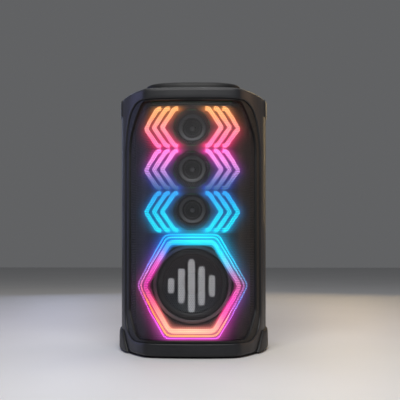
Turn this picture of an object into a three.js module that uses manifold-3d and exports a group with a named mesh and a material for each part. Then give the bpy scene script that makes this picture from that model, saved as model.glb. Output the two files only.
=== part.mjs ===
// Party speaker: a tall D-shaped tower with a convex grille, three small
// drivers over one woofer, light guides round them, a top control panel and
// a fixed carry handle.
//
// Millimetres. +Z up, the grille faces -Y, the origin is at the middle of the
// bottom of the whole object. "Depth" (d) is measured back from the front.

import * as THREE from 'three';
import { mergeVertices } from 'three/addons/utils/BufferGeometryUtils.js';
import Module from 'manifold-3d';

const wasm = await Module();
wasm.setup();

// ---------------------------------------------------------------- dimensions

const TOTAL_DEPTH = 280;            // front of the frame to the back of the skirt
const FRONT_Y = -TOTAL_DEPTH / 2;   // y of depth 0
const GAP = 0.3;                    // between pieces that touch

const FLOOR_CLEARANCE = 4;          // underside of the shell above the floor
const FRAME_TOP = 525;
const FRAME_WALL = 14;
const EDGE_BEVEL = 4;
const FRAME_BACK = 128;             // depth where the front frame meets the cabinet

const CABINET_WALL = 5;
const CABINET_BOTTOM = 8.3;
const CABINET_TOP = 489.7;

const SKIRT_FLARE = 5;
const SKIRT_TOP = 44;

const CAP_FLARE = 2;
const DECK_TOP = 510;
const DECK_WALL = 7;
const POCKET = { x: 72, d0: 86, d1: 167, floor: 483, wall: 3 };

const HANDLE_TOP = 551;
const HANDLE_UNDER = 528;

const PANEL_TOP = 513.5;
const BUTTON_DEPTH = 42;
const BUTTON_TRAVEL = 0.8;
const SMALL_BUTTON_R = 7.8;
const PLAY_BUTTON_R = 11;

const GRILLE_INSET = 7.5;
const GRILLE_THICKNESS = 1.5;
const LIGHT_INSET = 19;             // front of the light bars, from the outer skin
const LIGHT_HEIGHT = 4;
const LIGHT_PLATE = 1.5;

const WOOFER_Z = 141;
const MID_Z = [455, 372.5, 290.5];
const CELL_Z = [450.7, 368, 285.3];
const CELL_HALF = 40.9;
const HEX_Z = 138.5;

const BAFFLE_FRONT = 74;
const BAFFLE_THICKNESS = 6;

const PORT_Z = 330;
const REAR_WINDOW = { x: 62, z0: 58, z1: 192 };
const REAR_PLATE = { d0: 258, d1: 262 };
const FLAP_PIN = { d: 267.7, z: 153 };

// Right half of the outer plan, front centre to rear centre, as [x, depth].
const HALF_PLAN = [
  [0, 0], [30, 0.6], [60, 3], [86, 8], [92, 11], [100, 20], [112, 37], [124, 58],
  [134, 80], [143, 104], [150, 130], [154, 158], [154, 190], [151, 212], [144, 233],
  [131, 251], [112, 263], [86, 270], [48, 274], [0, 275],
];

// Right half of the frame's window and of the grille trim's window, [x, z].
const FRAME_WINDOW = [
  [0, 503.5], [101, 503.5], [110, 501], [117, 496], [125, 486], [132, 471], [138, 449], [143, 425],
  [147, 402], [147, 92], [144, 68], [136, 46], [127, 35], [114, 29], [0, 29],
];
const TRIM_WINDOW = [
  [0, 500.5], [95, 500.5], [101, 497.5], [106, 490], [114, 476], [122, 458], [128.5, 441], [132, 421],
  [133, 402], [133, 90], [130, 76], [119, 46], [112, 38], [104, 34], [0, 34],
];

// ---------------------------------------------------------------- geometry

const V2 = (x, y) => new THREE.Vector2(x, y);
const yAt = (depth) => FRONT_Y + depth;

const PLAN = [
  ...HALF_PLAN.map(([x, d]) => V2(x, yAt(d))),
  ...HALF_PLAN.slice(1, -1).reverse().map(([x, d]) => V2(-x, yAt(d))),
];

// The outer plan moved in by `inset` (out, if negative). Edges that vanish
// are dropped.
function plan(inset) {
  const count = PLAN.length;
  let edges = PLAN.map((p, i) => {
    const along = PLAN[(i + 1) % count].clone().sub(p).normalize();
    const out = V2(along.y, -along.x);
    return { along, out, reach: out.dot(p) - inset };
  });
  for (;;) {
    const n = edges.length;
    const corners = edges.map((e, i) => {
      const f = edges[(i + 1) % n];
      const det = e.out.x * f.out.y - e.out.y * f.out.x;
      return V2((e.reach * f.out.y - f.reach * e.out.y) / det,
        (e.out.x * f.reach - f.out.x * e.reach) / det);
    });
    const lost = edges.findIndex((e, i) =>
      corners[i].clone().sub(corners[(i + n - 1) % n]).dot(e.along) <= 1e-6);
    if (lost < 0) return corners;
    edges.splice(lost, 1);
  }
}

const mirrored = (half) => [
  ...half.map(([x, z]) => V2(x, z)),
  ...half.filter(([x]) => x !== 0).reverse().map(([x, z]) => V2(-x, z)),
];

// A polygon with its corners rounded by `radius`, `steps` edges to a corner.
function rounded(points, radius, steps) {
  const out = [];
  points.forEach((p, i) => {
    const a = points[(i + points.length - 1) % points.length].clone().sub(p);
    const b = points[(i + 1) % points.length].clone().sub(p);
    const half = Math.acos(a.dot(b) / a.length() / b.length()) / 2;
    const back = radius / Math.tan(half);
    const start = p.clone().add(a.setLength(back));
    const end = p.clone().add(b.setLength(back));
    const curve = new THREE.QuadraticBezierCurve(start, p, end);
    out.push(...curve.getPoints(steps));
  });
  return out;
}

const box2 = (x0, y0, x1, y1) => [V2(x0, y0), V2(x1, y0), V2(x1, y1), V2(x0, y1)];

function prismZ(points, z0, z1, bevel = 0) {
  const g = new THREE.ExtrudeGeometry(new THREE.Shape(points), bevel
    ? { depth: z1 - z0 - 2 * bevel, bevelEnabled: true, bevelThickness: bevel, bevelSize: bevel, bevelOffset: -bevel, bevelSegments: 1 }
    : { depth: z1 - z0, bevelEnabled: false });
  return g.translate(0, 0, z0 + bevel);
}

// A shape in [x, z] drawn along the depth from d0 to d1.
function prismY(points, d0, d1) {
  return new THREE.ExtrudeGeometry(new THREE.Shape(points), { depth: d1 - d0, bevelEnabled: false })
    .rotateX(Math.PI / 2).translate(0, yAt(d1), 0);
}

// A shape in [y, z] drawn along x from x0 to x1.
function prismX(points, x0, x1) {
  return new THREE.ExtrudeGeometry(new THREE.Shape(points), { depth: x1 - x0, bevelEnabled: false })
    .applyMatrix4(new THREE.Matrix4().set(0, 0, 1, x0, 1, 0, 0, 0, 0, 1, 0, 0, 0, 0, 0, 1));
}

const block = (x0, x1, d0, d1, z0, z1) => prismZ(box2(x0, yAt(d0), x1, yAt(d1)), z0, z1);

// A turned shape, [radius, height] points, about its own Y axis. A profile
// that does not touch the axis is closed.
function turned(profile, segments) {
  const points = profile.map(([r, h]) => V2(r, h));
  if (profile[0][0] !== 0) points.push(points[0].clone());
  return new THREE.LatheGeometry(points, segments);
}
const upright = (geometry) => geometry.rotateX(Math.PI / 2);

function volume(position, index) {
  const a = new THREE.Vector3(), b = new THREE.Vector3(), c = new THREE.Vector3();
  let sum = 0;
  for (let i = 0; i < index.length; i += 3) {
    a.fromArray(position, 3 * index[i]);
    b.fromArray(position, 3 * index[i + 1]);
    c.fromArray(position, 3 * index[i + 2]);
    sum += a.dot(b.cross(c));
  }
  return sum;
}

// One closed mesh with shared corners, faces out.
function closed(geometry) {
  const bare = geometry.clone();
  bare.deleteAttribute('normal');
  bare.deleteAttribute('uv');
  const merged = mergeVertices(bare, 1e-4);
  const position = merged.attributes.position.array;
  let index = [];
  const all = merged.index.array;
  for (let i = 0; i < all.length; i += 3) {
    const [p, q, r] = [all[i], all[i + 1], all[i + 2]];
    if (p !== q && q !== r && p !== r) index.push(p, q, r);
  }
  if (volume(position, index) < 0) index = index.reverse();
  return { position, index };
}

function solid(shape) {
  if (!shape.isBufferGeometry) return shape;
  const { position, index } = closed(shape);
  return new wasm.Manifold(new wasm.Mesh({
    numProp: 3, vertProperties: new Float32Array(position), triVerts: new Uint32Array(index),
  }));
}

const join = (...shapes) => shapes.map(solid).reduce((a, b) => a.add(b));
const cut = (from, ...shapes) => shapes.map(solid).reduce((a, b) => a.subtract(b), solid(from));
const common = (...shapes) => shapes.map(solid).reduce((a, b) => a.intersect(b));

function geometryOf(shape) {
  let position, index;
  if (shape.isBufferGeometry) ({ position, index } = closed(shape));
  else {
    const mesh = shape.getMesh();
    position = mesh.vertProperties;
    index = Array.from(mesh.triVerts);
  }
  const g = new THREE.BufferGeometry();
  g.setAttribute('position', new THREE.BufferAttribute(new Float32Array(position), 3));
  g.setIndex(Array.from(index));
  g.computeVertexNormals();
  return g;
}

// A curved wall between two insets of the plan.
const shell = (inset0, inset1, z0, z1) => cut(prismZ(plan(inset0), z0, z1), prismZ(plan(inset1), z0 - 1, z1 + 1));

// ---------------------------------------------------------------- assembly

const speaker = new THREE.Group();

function add(name, shape, colour, roughness, metalness = 0, parent = speaker) {
  const material = new THREE.MeshStandardMaterial({ color: colour, roughness, metalness });
  const mesh = new THREE.Mesh(geometryOf(shape), material);
  mesh.name = name;
  parent.add(mesh);
  return mesh;
}

const GREY = 0x3c3d3f, DARK = 0x1b1c1e, BLACK = 0x0d0d0f;

// --- front frame: bands above and below the window, rails at the sides

const behind = (depth) => block(-220, 220, depth, 400, -20, 600);
const windowFront = prismZ([
  V2(-220, yAt(-40)), V2(220, yAt(-40)), V2(220, yAt(66)), V2(140.5, yAt(97)), V2(112, yAt(122)),
  V2(-112, yAt(122)), V2(-140.5, yAt(97)), V2(-220, yAt(66)),
], -20, 600);
const windowCore = prismY(mirrored(FRAME_WINDOW.map(([x, z]) => [Math.min(x, 126), z])), 40, 140);
add('front_frame', cut(
  prismZ(plan(0), FLOOR_CLEARANCE, FRAME_TOP, EDGE_BEVEL),
  prismZ(plan(FRAME_WALL), -10, 540),
  behind(FRAME_BACK),
  common(prismY(mirrored(FRAME_WINDOW), -20, 140), windowFront),
  windowCore,
), GREY, 0.5);

// --- trim that holds the grille, and the grille

const trimOuter = mirrored(FRAME_WINDOW.map(([x, z]) =>
  [x === 0 ? 0 : x - GAP * 2, z > 250 ? z - GAP : z < 60 ? z + GAP : z]));
const trimFront = prismZ([
  V2(-220, yAt(-40)), V2(220, yAt(-40)), V2(220, yAt(65)), V2(140.5, yAt(96.3)), V2(112, yAt(121)),
  V2(-112, yAt(121)), V2(-140.5, yAt(96.3)), V2(-220, yAt(65)),
], -20, 600);
add('grille_trim', cut(
  common(shell(3, 13, 0, 540), prismY(trimOuter, -20, 120), trimFront),
  prismY(mirrored(TRIM_WINDOW), -20, 120),
), DARK, 0.45);

const grilleOutline = mirrored(TRIM_WINDOW.map(([x, z]) =>
  [x === 0 ? 0 : x - GAP * 1.6, z > 250 ? z - GAP * 1.6 : z < 60 ? z + GAP * 1.6 : z]));
add('grille', common(
  shell(GRILLE_INSET, GRILLE_INSET + GRILLE_THICKNESS, 0, 540),
  prismY(grilleOutline, -20, 110),
), 0x1f1f22, 0.45, 0.7);

// --- cabinet, with the hole for the bass port and the window for the sockets

add('cabinet', cut(
  shell(0, CABINET_WALL, CABINET_BOTTOM, CABINET_TOP),
  block(-220, 220, -40, FRAME_BACK + GAP, -20, 600),
  prismY(box2(-REAR_WINDOW.x, REAR_WINDOW.z0, REAR_WINDOW.x, REAR_WINDOW.z1), 240, 300),
  turned([[0, yAt(240)], [35, yAt(240)], [35, yAt(300)], [0, yAt(300)]], 20).translate(0, 0, PORT_Z),
), DARK, 0.6);

// --- base: floor plate, flared skirt round the sides and back, rubber feet

add('base_plate', join(
  prismZ(plan(FRAME_WALL + GAP), FLOOR_CLEARANCE, 8),
  cut(prismZ(plan(0), FLOOR_CLEARANCE, 8), block(-220, 220, -40, FRAME_BACK + GAP, -20, 600)),
), DARK, 0.7);

add('base_skirt', common(
  cut(prismZ(plan(-SKIRT_FLARE), FLOOR_CLEARANCE, SKIRT_TOP, 2.5), prismZ(plan(-GAP), -10, 90)),
  prismX([V2(yAt(60), -5), V2(yAt(300), -5), V2(yAt(300), 80), V2(yAt(118), 80), V2(yAt(112), 56)], -220, 220),
), BLACK, 0.6);

for (const [name, x, d] of [
  ['foot_front_left', -82, 45], ['foot_front_right', 82, 45],
  ['foot_rear_left', -100, 220], ['foot_rear_right', 100, 220],
]) {
  const foot = add(name, upright(turned([[0, 0], [14, 0], [14, 3.7], [0, 3.7]], 14)), BLACK, 0.9);
  foot.position.set(x, yAt(d), 0);
}

// --- top cover: rear rim, deck, finger pocket under the handle

add('top_cover', cut(
  join(
    cut(prismZ(plan(-CAP_FLARE), CABINET_TOP + GAP, FRAME_TOP, 3), prismZ(plan(18), 400, 600),
      block(-220, 220, -40, FRAME_BACK + GAP, 400, 600)),
    prismZ(plan(FRAME_WALL + GAP), DECK_TOP - DECK_WALL, DECK_TOP),
    block(-POCKET.x - POCKET.wall, POCKET.x + POCKET.wall, POCKET.d0 - POCKET.wall, POCKET.d1 + POCKET.wall,
      POCKET.floor - POCKET.wall, DECK_TOP - 1),
  ),
  prismZ(rounded(box2(-POCKET.x, yAt(POCKET.d0), POCKET.x, yAt(POCKET.d1)), 14, 3), POCKET.floor, 600),
), GREY, 0.55);

// --- carry handle: a bar that sweeps back into two legs

const HANDLE_HALF = [
  [0, 72], [30, 73], [55, 77], [75, 85], [89, 97], [97, 112], [99, 130], [97, 144], [90, 151],
  [80, 151], [73, 144], [71, 128], [66, 116], [52, 109], [30, 105.5], [0, 104.5],
];
const handlePlan = mirrored(HANDLE_HALF).map((p) => V2(p.x, yAt(p.y)));
add('handle', cut(
  prismZ(handlePlan, 490, HANDLE_TOP, 5),
  block(-220, 220, 0, 280, 400, DECK_TOP + GAP),
  block(-70, 70, 40, 122, 400, HANDLE_UNDER),
), 0x3a3c40, 0.45);

// --- control panel and its push buttons

const BUTTONS = [
  ['power_button', -72, SMALL_BUTTON_R], ['pairing_button', -50, SMALL_BUTTON_R],
  ['light_button', -28, SMALL_BUTTON_R], ['play_button', 0, PLAY_BUTTON_R],
  ['bass_button', 28, SMALL_BUTTON_R], ['volume_down_button', 50, SMALL_BUTTON_R],
  ['volume_up_button', 72, SMALL_BUTTON_R],
];
const buttonHole = (x, r) => upright(turned([[0, 500], [r + 0.5, 500], [r + 0.5, 530], [0, 530]], 12))
  .translate(x, yAt(BUTTON_DEPTH), 0);
add('control_panel', cut(
  prismZ(rounded(box2(-86, yAt(26), 86, yAt(60)), 12, 3), DECK_TOP + GAP, PANEL_TOP),
  ...BUTTONS.map(([, x, r]) => buttonHole(x, r)),
), BLACK, 0.25);
for (const [name, x, r] of BUTTONS) {
  const button = add(name, upright(turned(
    [[0, 0], [r, 0], [r, 3.4], [r - 0.9, 4.4], [0, 4.4]], 12)), 0x2a2b2e, 0.5);
  button.position.set(x, yAt(BUTTON_DEPTH), DECK_TOP + BUTTON_TRAVEL + 0.4);
}
add('control_board', prismZ(rounded(box2(-80, yAt(30), 80, yAt(56)), 4, 1), 500.9, DECK_TOP - DECK_WALL - GAP), 0x1d5a34, 0.6);

// --- baffle: a hat section that carries the drivers in front of the cabinet

const baffleFace = 94, baffleReach = 132, baffleBack = 120;
add('baffle', cut(
  prismZ([
    V2(-baffleReach, yAt(baffleBack)), V2(-baffleFace, yAt(baffleBack)), V2(-baffleFace, yAt(BAFFLE_FRONT)),
    V2(baffleFace, yAt(BAFFLE_FRONT)), V2(baffleFace, yAt(baffleBack)), V2(baffleReach, yAt(baffleBack)),
    V2(baffleReach, yAt(baffleBack + 5)), V2(baffleFace - 4, yAt(baffleBack + 5)),
    V2(baffleFace - 4, yAt(BAFFLE_FRONT + BAFFLE_THICKNESS)), V2(-baffleFace + 4, yAt(BAFFLE_FRONT + BAFFLE_THICKNESS)),
    V2(-baffleFace + 4, yAt(baffleBack + 5)), V2(-baffleReach, yAt(baffleBack + 5)),
  ], 8.3, 474),
  turned([[0, yAt(60)], [77, yAt(60)], [77, yAt(100)], [0, yAt(100)]], 20).translate(0, 0, WOOFER_Z),
  ...MID_Z.slice(1).map((z) => turned([[0, yAt(60)], [25.5, yAt(60)], [25.5, yAt(100)], [0, yAt(100)]], 12).translate(0, 0, z)),
  turned([[0, yAt(60)], [25.5, yAt(60)], [25.5, yAt(100)], [0, yAt(100)]], 12).translate(0, 0, MID_Z[0]),
), 0x202124, 0.8);

// --- woofer

const woofer = new THREE.Group();
woofer.position.set(0, FRONT_Y, WOOFER_Z);
speaker.add(woofer);
const W = 24;
add('woofer_basket', turned([
  [72.7, 70.5], [80, 70.5], [80, 73.7], [75.5, 73.7], [73.6, 92], [52, 127], [52, 131], [21, 131], [21, 128], [48.5, 127.5], [71.6, 91],
], W), 0x2a2b2d, 0.5, 0.6, woofer);
add('woofer_trim_ring', turned([[73, 66.5], [79.5, 67], [79.5, 70.2], [73, 70.2]], W), 0x17181a, 0.35, 0, woofer);
add('woofer_surround', turned([
  [58.3, 76], [61.5, 70.2], [68, 70.2], [71.2, 75.6], [71.2, 77], [67.2, 72], [62.3, 72], [58.3, 77.4],
], W), 0x111214, 0.8, 0, woofer);
add('woofer_cone', turned([
  [57.9, 77], [57.9, 78.3], [17, 113.4], [17, 140], [15.6, 140], [15.6, 112.6],
], W), 0x17181b, 0.7, 0, woofer);
add('woofer_dust_cap', turned([
  [0, 98], [12, 100.4], [22, 106.6], [19.5, 106.9], [11, 102.2], [0, 100],
], 18), 0x1c1d20, 0.5, 0, woofer);
add('woofer_magnet', turned([
  [0, 132], [14, 132], [14, 152], [19, 152], [19, 131.3], [46, 131.3], [46, 160], [0, 160],
], W), 0x3a3a3c, 0.5, 0.7, woofer);

// --- small drivers

['top', 'middle', 'bottom'].forEach((place, i) => {
  const driver = new THREE.Group();
  driver.position.set(0, FRONT_Y, MID_Z[i]);
  speaker.add(driver);
  const S = 12;
  add(`mid_basket_${place}`, turned([
    [20.6, 56.5], [27, 57.5], [27, 60.5], [24, 70], [31, 70], [31, 73.7], [24.4, 73.7], [22.5, 89],
    [15, 95], [8.4, 95], [8.4, 92.5], [21, 88],
  ], S), 0x1a1b1d, 0.4, 0, driver);
  add(`mid_surround_${place}`, turned([
    [15.8, 64.2], [16.9, 61.8], [18.9, 61.8], [20, 64.2], [20, 65.4], [17.9, 62.9], [15.8, 65.4],
  ], S), 0x101113, 0.8, 0, driver);
  add(`mid_cone_${place}`, turned([
    [0, 66.6], [6.6, 69.6], [15.3, 63.9], [15.3, 65.2], [6.9, 72.6], [6.9, 99], [6, 99], [6, 71.5], [0, 69.4],
  ], S), 0x17181b, 0.45, 0, driver);
  add(`mid_magnet_${place}`, turned([
    [0, 96.5], [4.9, 96.5], [4.9, 105], [8.1, 105], [8.1, 95.3], [17, 95.3], [17, 110], [0, 110],
  ], S), 0x3a3a3c, 0.5, 0.7, driver);
});

// --- light guides: raised bars on thin curved plates behind the grille

const BAR_SLANT = 24, BAR_RISE = 38, BAR_WIDTH = 9.5;
const BAR_TIPS = [96.5, 79.5, 63];

// One angled bar that points outward at its middle, on the `side` given.
function chevron(tip, side, z) {
  const right = [
    [tip, 0], [tip - BAR_SLANT, BAR_RISE], [tip - BAR_SLANT - BAR_WIDTH, BAR_RISE],
    [tip - BAR_WIDTH, 0], [tip - BAR_SLANT - BAR_WIDTH, -BAR_RISE], [tip - BAR_SLANT, -BAR_RISE],
  ].map(([x, h]) => V2(side * x, z + h));
  return side > 0 ? right.reverse() : right;
}

const barShell = shell(LIGHT_INSET, LIGHT_INSET + LIGHT_HEIGHT + 0.2, 0, 540);
const plateShell = shell(LIGHT_INSET + LIGHT_HEIGHT, LIGHT_INSET + LIGHT_HEIGHT + LIGHT_PLATE, 0, 540);
const circle = (r, z, n) => Array.from({ length: n }, (_, i) =>
  V2(r * Math.cos(2 * Math.PI * i / n), z + r * Math.sin(2 * Math.PI * i / n)));

['top', 'middle', 'bottom'].forEach((place, i) => {
  const z = CELL_Z[i];
  const bars = [];
  for (const side of [-1, 1]) for (const tip of BAR_TIPS) bars.push(prismY(chevron(tip, side, z), 0, 110));
  add(`array_light_${place}`, join(
    common(barShell, join(...bars)),
    cut(common(plateShell, prismY(box2(-99, z - CELL_HALF, 99, z + CELL_HALF), 0, 110)), prismY(circle(34, z, 10), 0, 110)),
  ), 0xd8d8e0, 0.3);
});

// Hexagon with points at the sides, `apothem` from centre to top edge.
const HEX_SLOPE = { nx: 0.8605, nz: 0.5096 };
function hexagon(apothem, z, radius) {
  const reach = 98.1 + (apothem - 103.3);
  const tip = reach / HEX_SLOPE.nx, flat = (reach - apothem * HEX_SLOPE.nz) / HEX_SLOPE.nx;
  return rounded([
    V2(tip, z), V2(flat, z + apothem), V2(-flat, z + apothem), V2(-tip, z), V2(-flat, z - apothem), V2(flat, z - apothem),
  ], radius, 1);
}
const hexRing = (a0, a1) => cut(prismY(hexagon(a1, HEX_Z, 14), 0, 130), prismY(hexagon(a0, HEX_Z, 10), -5, 135));
add('woofer_light_ring', join(
  common(barShell, join(hexRing(82.5, 92), hexRing(95, 103.3))),
  common(plateShell, hexRing(82, 103.8)),
), 0xd8d8e0, 0.3);

const carrierOutline = (x) => box2(-x, 33, x, 495);
add('light_carrier', cut(
  common(shell(24.8, 27.3, 0, 540), prismY(carrierOutline(118), 0, 118)),
  prismY(hexagon(79.5, HEX_Z, 10), -5, 135),
  ...CELL_Z.map((z) => prismY(circle(34, z, 10), 0, 118)),
), BLACK, 0.5);
add('led_board', cut(
  common(shell(27.6, 29.2, 0, 540), prismY(box2(-106, 36, 106, 492), 0, 100)),
  prismY(hexagon(84, HEX_Z, 10), -5, 135),
  ...CELL_Z.map((z) => prismY(circle(36, z, 10), 0, 118)),
), 0x1d5a34, 0.6);

// --- bass port

add('bass_port', turned([
  [27, yAt(172)], [30, yAt(172)], [30, yAt(252)], [34.6, yAt(264)], [34.6, yAt(275.3)], [43, yAt(275.3)], [43, yAt(277)],
  [38, yAt(277.6)], [31, yAt(268)], [27, yAt(252)],
], 20).translate(0, 0, PORT_Z), BLACK, 0.4);

// --- socket panel: a tray in the cabinet's rear window

const tube = (r, d0, d1, x, z, n = 16) => turned([[0, yAt(d0)], [r, yAt(d0)], [r, yAt(d1)], [0, yAt(d1)]], n).translate(x, 0, z);
const rod = (r, x0, x1, d, z, n = 12) => prismX(circle(r, 0, n).map((p) => V2(yAt(d) + p.x, z + p.y)), x0, x1);
const SOCKET_Z = 127, KNOB_Z = 172, MAINS_Z = 82;
const MIC_X = -26, USB_X = 20, MAINS_X = -28, KNOB_X = 26;
add('rear_panel', cut(
  join(
    cut(
      prismY(box2(-REAR_WINDOW.x + GAP, REAR_WINDOW.z0 + GAP, REAR_WINDOW.x - GAP, REAR_WINDOW.z1 - GAP), REAR_PLATE.d0, 272.5),
      prismY(box2(-58.5, 61.5, 58.5, 188.5), REAR_PLATE.d1, 290),
    ),
    block(-55, -50.3, REAR_PLATE.d1 - 1, 271, 149.5, 156.5),
    block(50.3, 55, REAR_PLATE.d1 - 1, 271, 149.5, 156.5),
  ),
  rod(1.4, -56, 56, FLAP_PIN.d, FLAP_PIN.z),
  tube(5.8, 250, 270, MIC_X, SOCKET_Z),
  prismY(box2(USB_X - 7.8, SOCKET_Z - 4.1, USB_X + 7.8, SOCKET_Z + 4.1), 250, 270),
  prismY(box2(MAINS_X - 11.3, MAINS_Z - 7.3, MAINS_X + 11.3, MAINS_Z + 7.3), 250, 270),
  tube(3.5, 250, 270, -KNOB_X, KNOB_Z), tube(3.5, 250, 270, KNOB_X, KNOB_Z),
), DARK, 0.6);

add('port_flap', cut(
  join(
    rod(3, -49.8, 49.8, FLAP_PIN.d, FLAP_PIN.z, 16),
    block(-48, 48, 266, 269.4, 104, 152),
    block(-9, 9, 269, 270.6, 104, 108),
  ),
  rod(1.4, -56, 56, FLAP_PIN.d, FLAP_PIN.z),
), 0x16171a, 0.7);
add('flap_pin', rod(1.1, -54.6, 54.6, FLAP_PIN.d, FLAP_PIN.z, 10), 0x9a9ca0, 0.3, 0.9);

add('mic_jack', turned([
  [0, yAt(236)], [5.5, yAt(236)], [5.5, yAt(262.3)], [7.4, yAt(262.3)], [7.4, yAt(264)], [3.4, yAt(264)], [3.4, yAt(240)], [0, yAt(240)],
], 16).translate(MIC_X, 0, SOCKET_Z), 0x8c8e92, 0.35, 0.8);
add('usb_port', cut(
  prismY(box2(USB_X - 7.5, SOCKET_Z - 3.8, USB_X + 7.5, SOCKET_Z + 3.8), 246, 263),
  prismY(box2(USB_X - 6.3, SOCKET_Z - 2.5, USB_X + 6.3, SOCKET_Z + 2.5), 249, 270),
), 0xa0a2a6, 0.3, 0.9);
add('mains_inlet', join(
  cut(
    prismY(rounded(box2(MAINS_X - 11, MAINS_Z - 7, MAINS_X + 11, MAINS_Z + 7), 4, 2), 240, 263),
    prismY(rounded(box2(MAINS_X - 8.6, MAINS_Z - 4.6, MAINS_X + 8.6, MAINS_Z + 4.6), 3, 2), 245, 270),
  ),
  tube(1.2, 243, 254, MAINS_X - 4.3, MAINS_Z, 8), tube(1.2, 243, 254, MAINS_X + 4.3, MAINS_Z, 8),
), BLACK, 0.5);

for (const [name, x] of [['mic_volume_knob', -KNOB_X], ['echo_knob', KNOB_X]]) {
  add(name, cut(
    turned([
      [0, yAt(238)], [3, yAt(238)], [3, yAt(262.8)], [9, yAt(262.8)], [8.4, yAt(273)], [0, yAt(273)],
    ], 14).translate(x, 0, KNOB_Z),
    prismY(box2(x - 0.7, KNOB_Z + 3, x + 0.7, KNOB_Z + 12), 271.8, 280),
  ), 0x2a2b2e, 0.5);
}

// --- electronics

add('amplifier_board', prismY(box2(-56, 64, 56, 188), 233.9, 235.7), 0x1d5a34, 0.6);
const fins = [V2(-50, yAt(233.6))];
for (let i = 0; i < 7; i++) {
  const x = 50 - i * 15.5;
  fins.push(V2(x, yAt(i ? 228 : 233.6)), V2(x, yAt(208)), V2(x - 7, yAt(208)), V2(x - 7, yAt(i < 6 ? 228 : 233.6)));
}
add('heat_sink', prismZ(fins.slice(1).reverse(), 150, 186), 0x8f9194, 0.4, 0.9);
add('power_supply', prismZ(rounded(box2(-58, yAt(164), 58, yAt(226)), 4, 1), 8.3, 50), 0x9a9c9f, 0.5, 0.7);
add('battery_tray', join(
  block(-80, 80, 188, 263, 212, 215),
  block(-80, 80, 188, 190.5, 214, 228),
), 0x232427, 0.7);
add('battery_pack', prismZ(rounded(box2(-76, yAt(190.8), 76, yAt(262)), 9, 2), 215.3, 268), 0x24406e, 0.5);

export default speaker;
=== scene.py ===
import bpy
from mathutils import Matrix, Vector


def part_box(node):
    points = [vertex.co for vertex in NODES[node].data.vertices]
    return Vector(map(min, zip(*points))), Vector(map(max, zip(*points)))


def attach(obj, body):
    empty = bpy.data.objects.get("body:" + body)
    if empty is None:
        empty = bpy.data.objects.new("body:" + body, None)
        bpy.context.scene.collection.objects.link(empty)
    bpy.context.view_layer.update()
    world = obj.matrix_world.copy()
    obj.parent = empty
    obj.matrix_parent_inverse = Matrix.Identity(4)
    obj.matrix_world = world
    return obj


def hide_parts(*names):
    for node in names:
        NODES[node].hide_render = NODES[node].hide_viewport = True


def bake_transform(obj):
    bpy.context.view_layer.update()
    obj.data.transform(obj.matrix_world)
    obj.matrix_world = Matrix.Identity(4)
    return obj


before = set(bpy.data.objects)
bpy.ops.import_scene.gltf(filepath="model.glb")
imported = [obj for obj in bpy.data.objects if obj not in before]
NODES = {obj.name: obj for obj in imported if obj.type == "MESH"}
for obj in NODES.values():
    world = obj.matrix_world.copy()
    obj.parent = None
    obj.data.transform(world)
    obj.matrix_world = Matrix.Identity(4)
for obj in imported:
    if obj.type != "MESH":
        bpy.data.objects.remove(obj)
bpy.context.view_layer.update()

import math

import bmesh
import bpy
import numpy as np
from mathutils import Matrix, Vector

MM = 0.001
FRONT_Y = -140.0


def yat(d):
    return FRONT_Y + d


# ------------------------------------------------------------------ camera

CAM_YAW = math.radians(1.6)
CAM_DIST = 1.54
CAM_Z = 0.217
cam_data = bpy.data.cameras.new("camera")
cam = bpy.data.objects.new("camera", cam_data)
bpy.context.scene.collection.objects.link(cam)
cam.location = (math.sin(CAM_YAW) * CAM_DIST, -math.cos(CAM_YAW) * CAM_DIST, CAM_Z)
cam.rotation_euler = (math.radians(90), 0, CAM_YAW)
cam_data.sensor_width = 36
cam_data.lens = 65.45
cam_data.shift_x = 0.0165
cam_data.shift_y = 0.1165
bpy.context.scene.camera = cam

# ------------------------------------------------------------------ plan

HALF_PLAN = [
    (0, 0), (30, 0.6), (60, 3), (86, 8), (92, 11), (100, 20), (112, 37), (124, 58),
    (134, 80), (143, 104), (150, 130), (154, 158), (154, 190), (151, 212), (144, 233),
    (131, 251), (112, 263), (86, 270), (48, 274), (0, 275),
]


def catmull(points, per_mm=1.0):
    """A dense closed centripetal curve through closed control points."""
    pts = [np.array(p, float) for p in points]
    n = len(pts)
    out = []
    for i in range(n):
        p0, p1, p2, p3 = pts[i - 1], pts[i], pts[(i + 1) % n], pts[(i + 2) % n]
        d1 = math.sqrt(np.linalg.norm(p1 - p0)) or 1e-6
        d2 = math.sqrt(np.linalg.norm(p2 - p1)) or 1e-6
        d3 = math.sqrt(np.linalg.norm(p3 - p2)) or 1e-6
        m1 = (p1 - p0) / d1 - (p2 - p0) / (d1 + d2) + (p2 - p1) / d2
        m2 = (p2 - p1) / d2 - (p3 - p1) / (d2 + d3) + (p3 - p2) / d3
        m1, m2 = m1 * d2, m2 * d2
        steps = max(2, int(np.linalg.norm(p2 - p1) * per_mm))
        for k in range(steps):
            t = k / steps
            out.append(
                (2 * t**3 - 3 * t**2 + 1) * p1 + (t**3 - 2 * t**2 + t) * m1
                + (-2 * t**3 + 3 * t**2) * p2 + (t**3 - t**2) * m2
            )
    return np.array(out)


_ctrl = [(x, yat(d)) for x, d in HALF_PLAN] + [(-x, yat(d)) for x, d in HALF_PLAN[-2:0:-1]]
def relax(v, sigma_mm):
    """The closed curve v with its tight turns opened to a soft bend."""
    seg = np.linalg.norm(np.roll(v, -1, 0) - v, axis=1)
    arc = np.concatenate([[0], np.cumsum(seg)])
    m = int(arc[-1])
    grid = np.arange(m) / m * arc[-1]
    f = np.fft.rfftfreq(m, d=arc[-1] / m)
    bell = np.exp(-2 * (math.pi * f * sigma_mm) ** 2)
    return np.stack([np.fft.irfft(np.fft.rfft(np.interp(grid, arc, np.append(v[:, c], v[0, c]))) * bell, m) for c in (0, 1)], 1)


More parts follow.
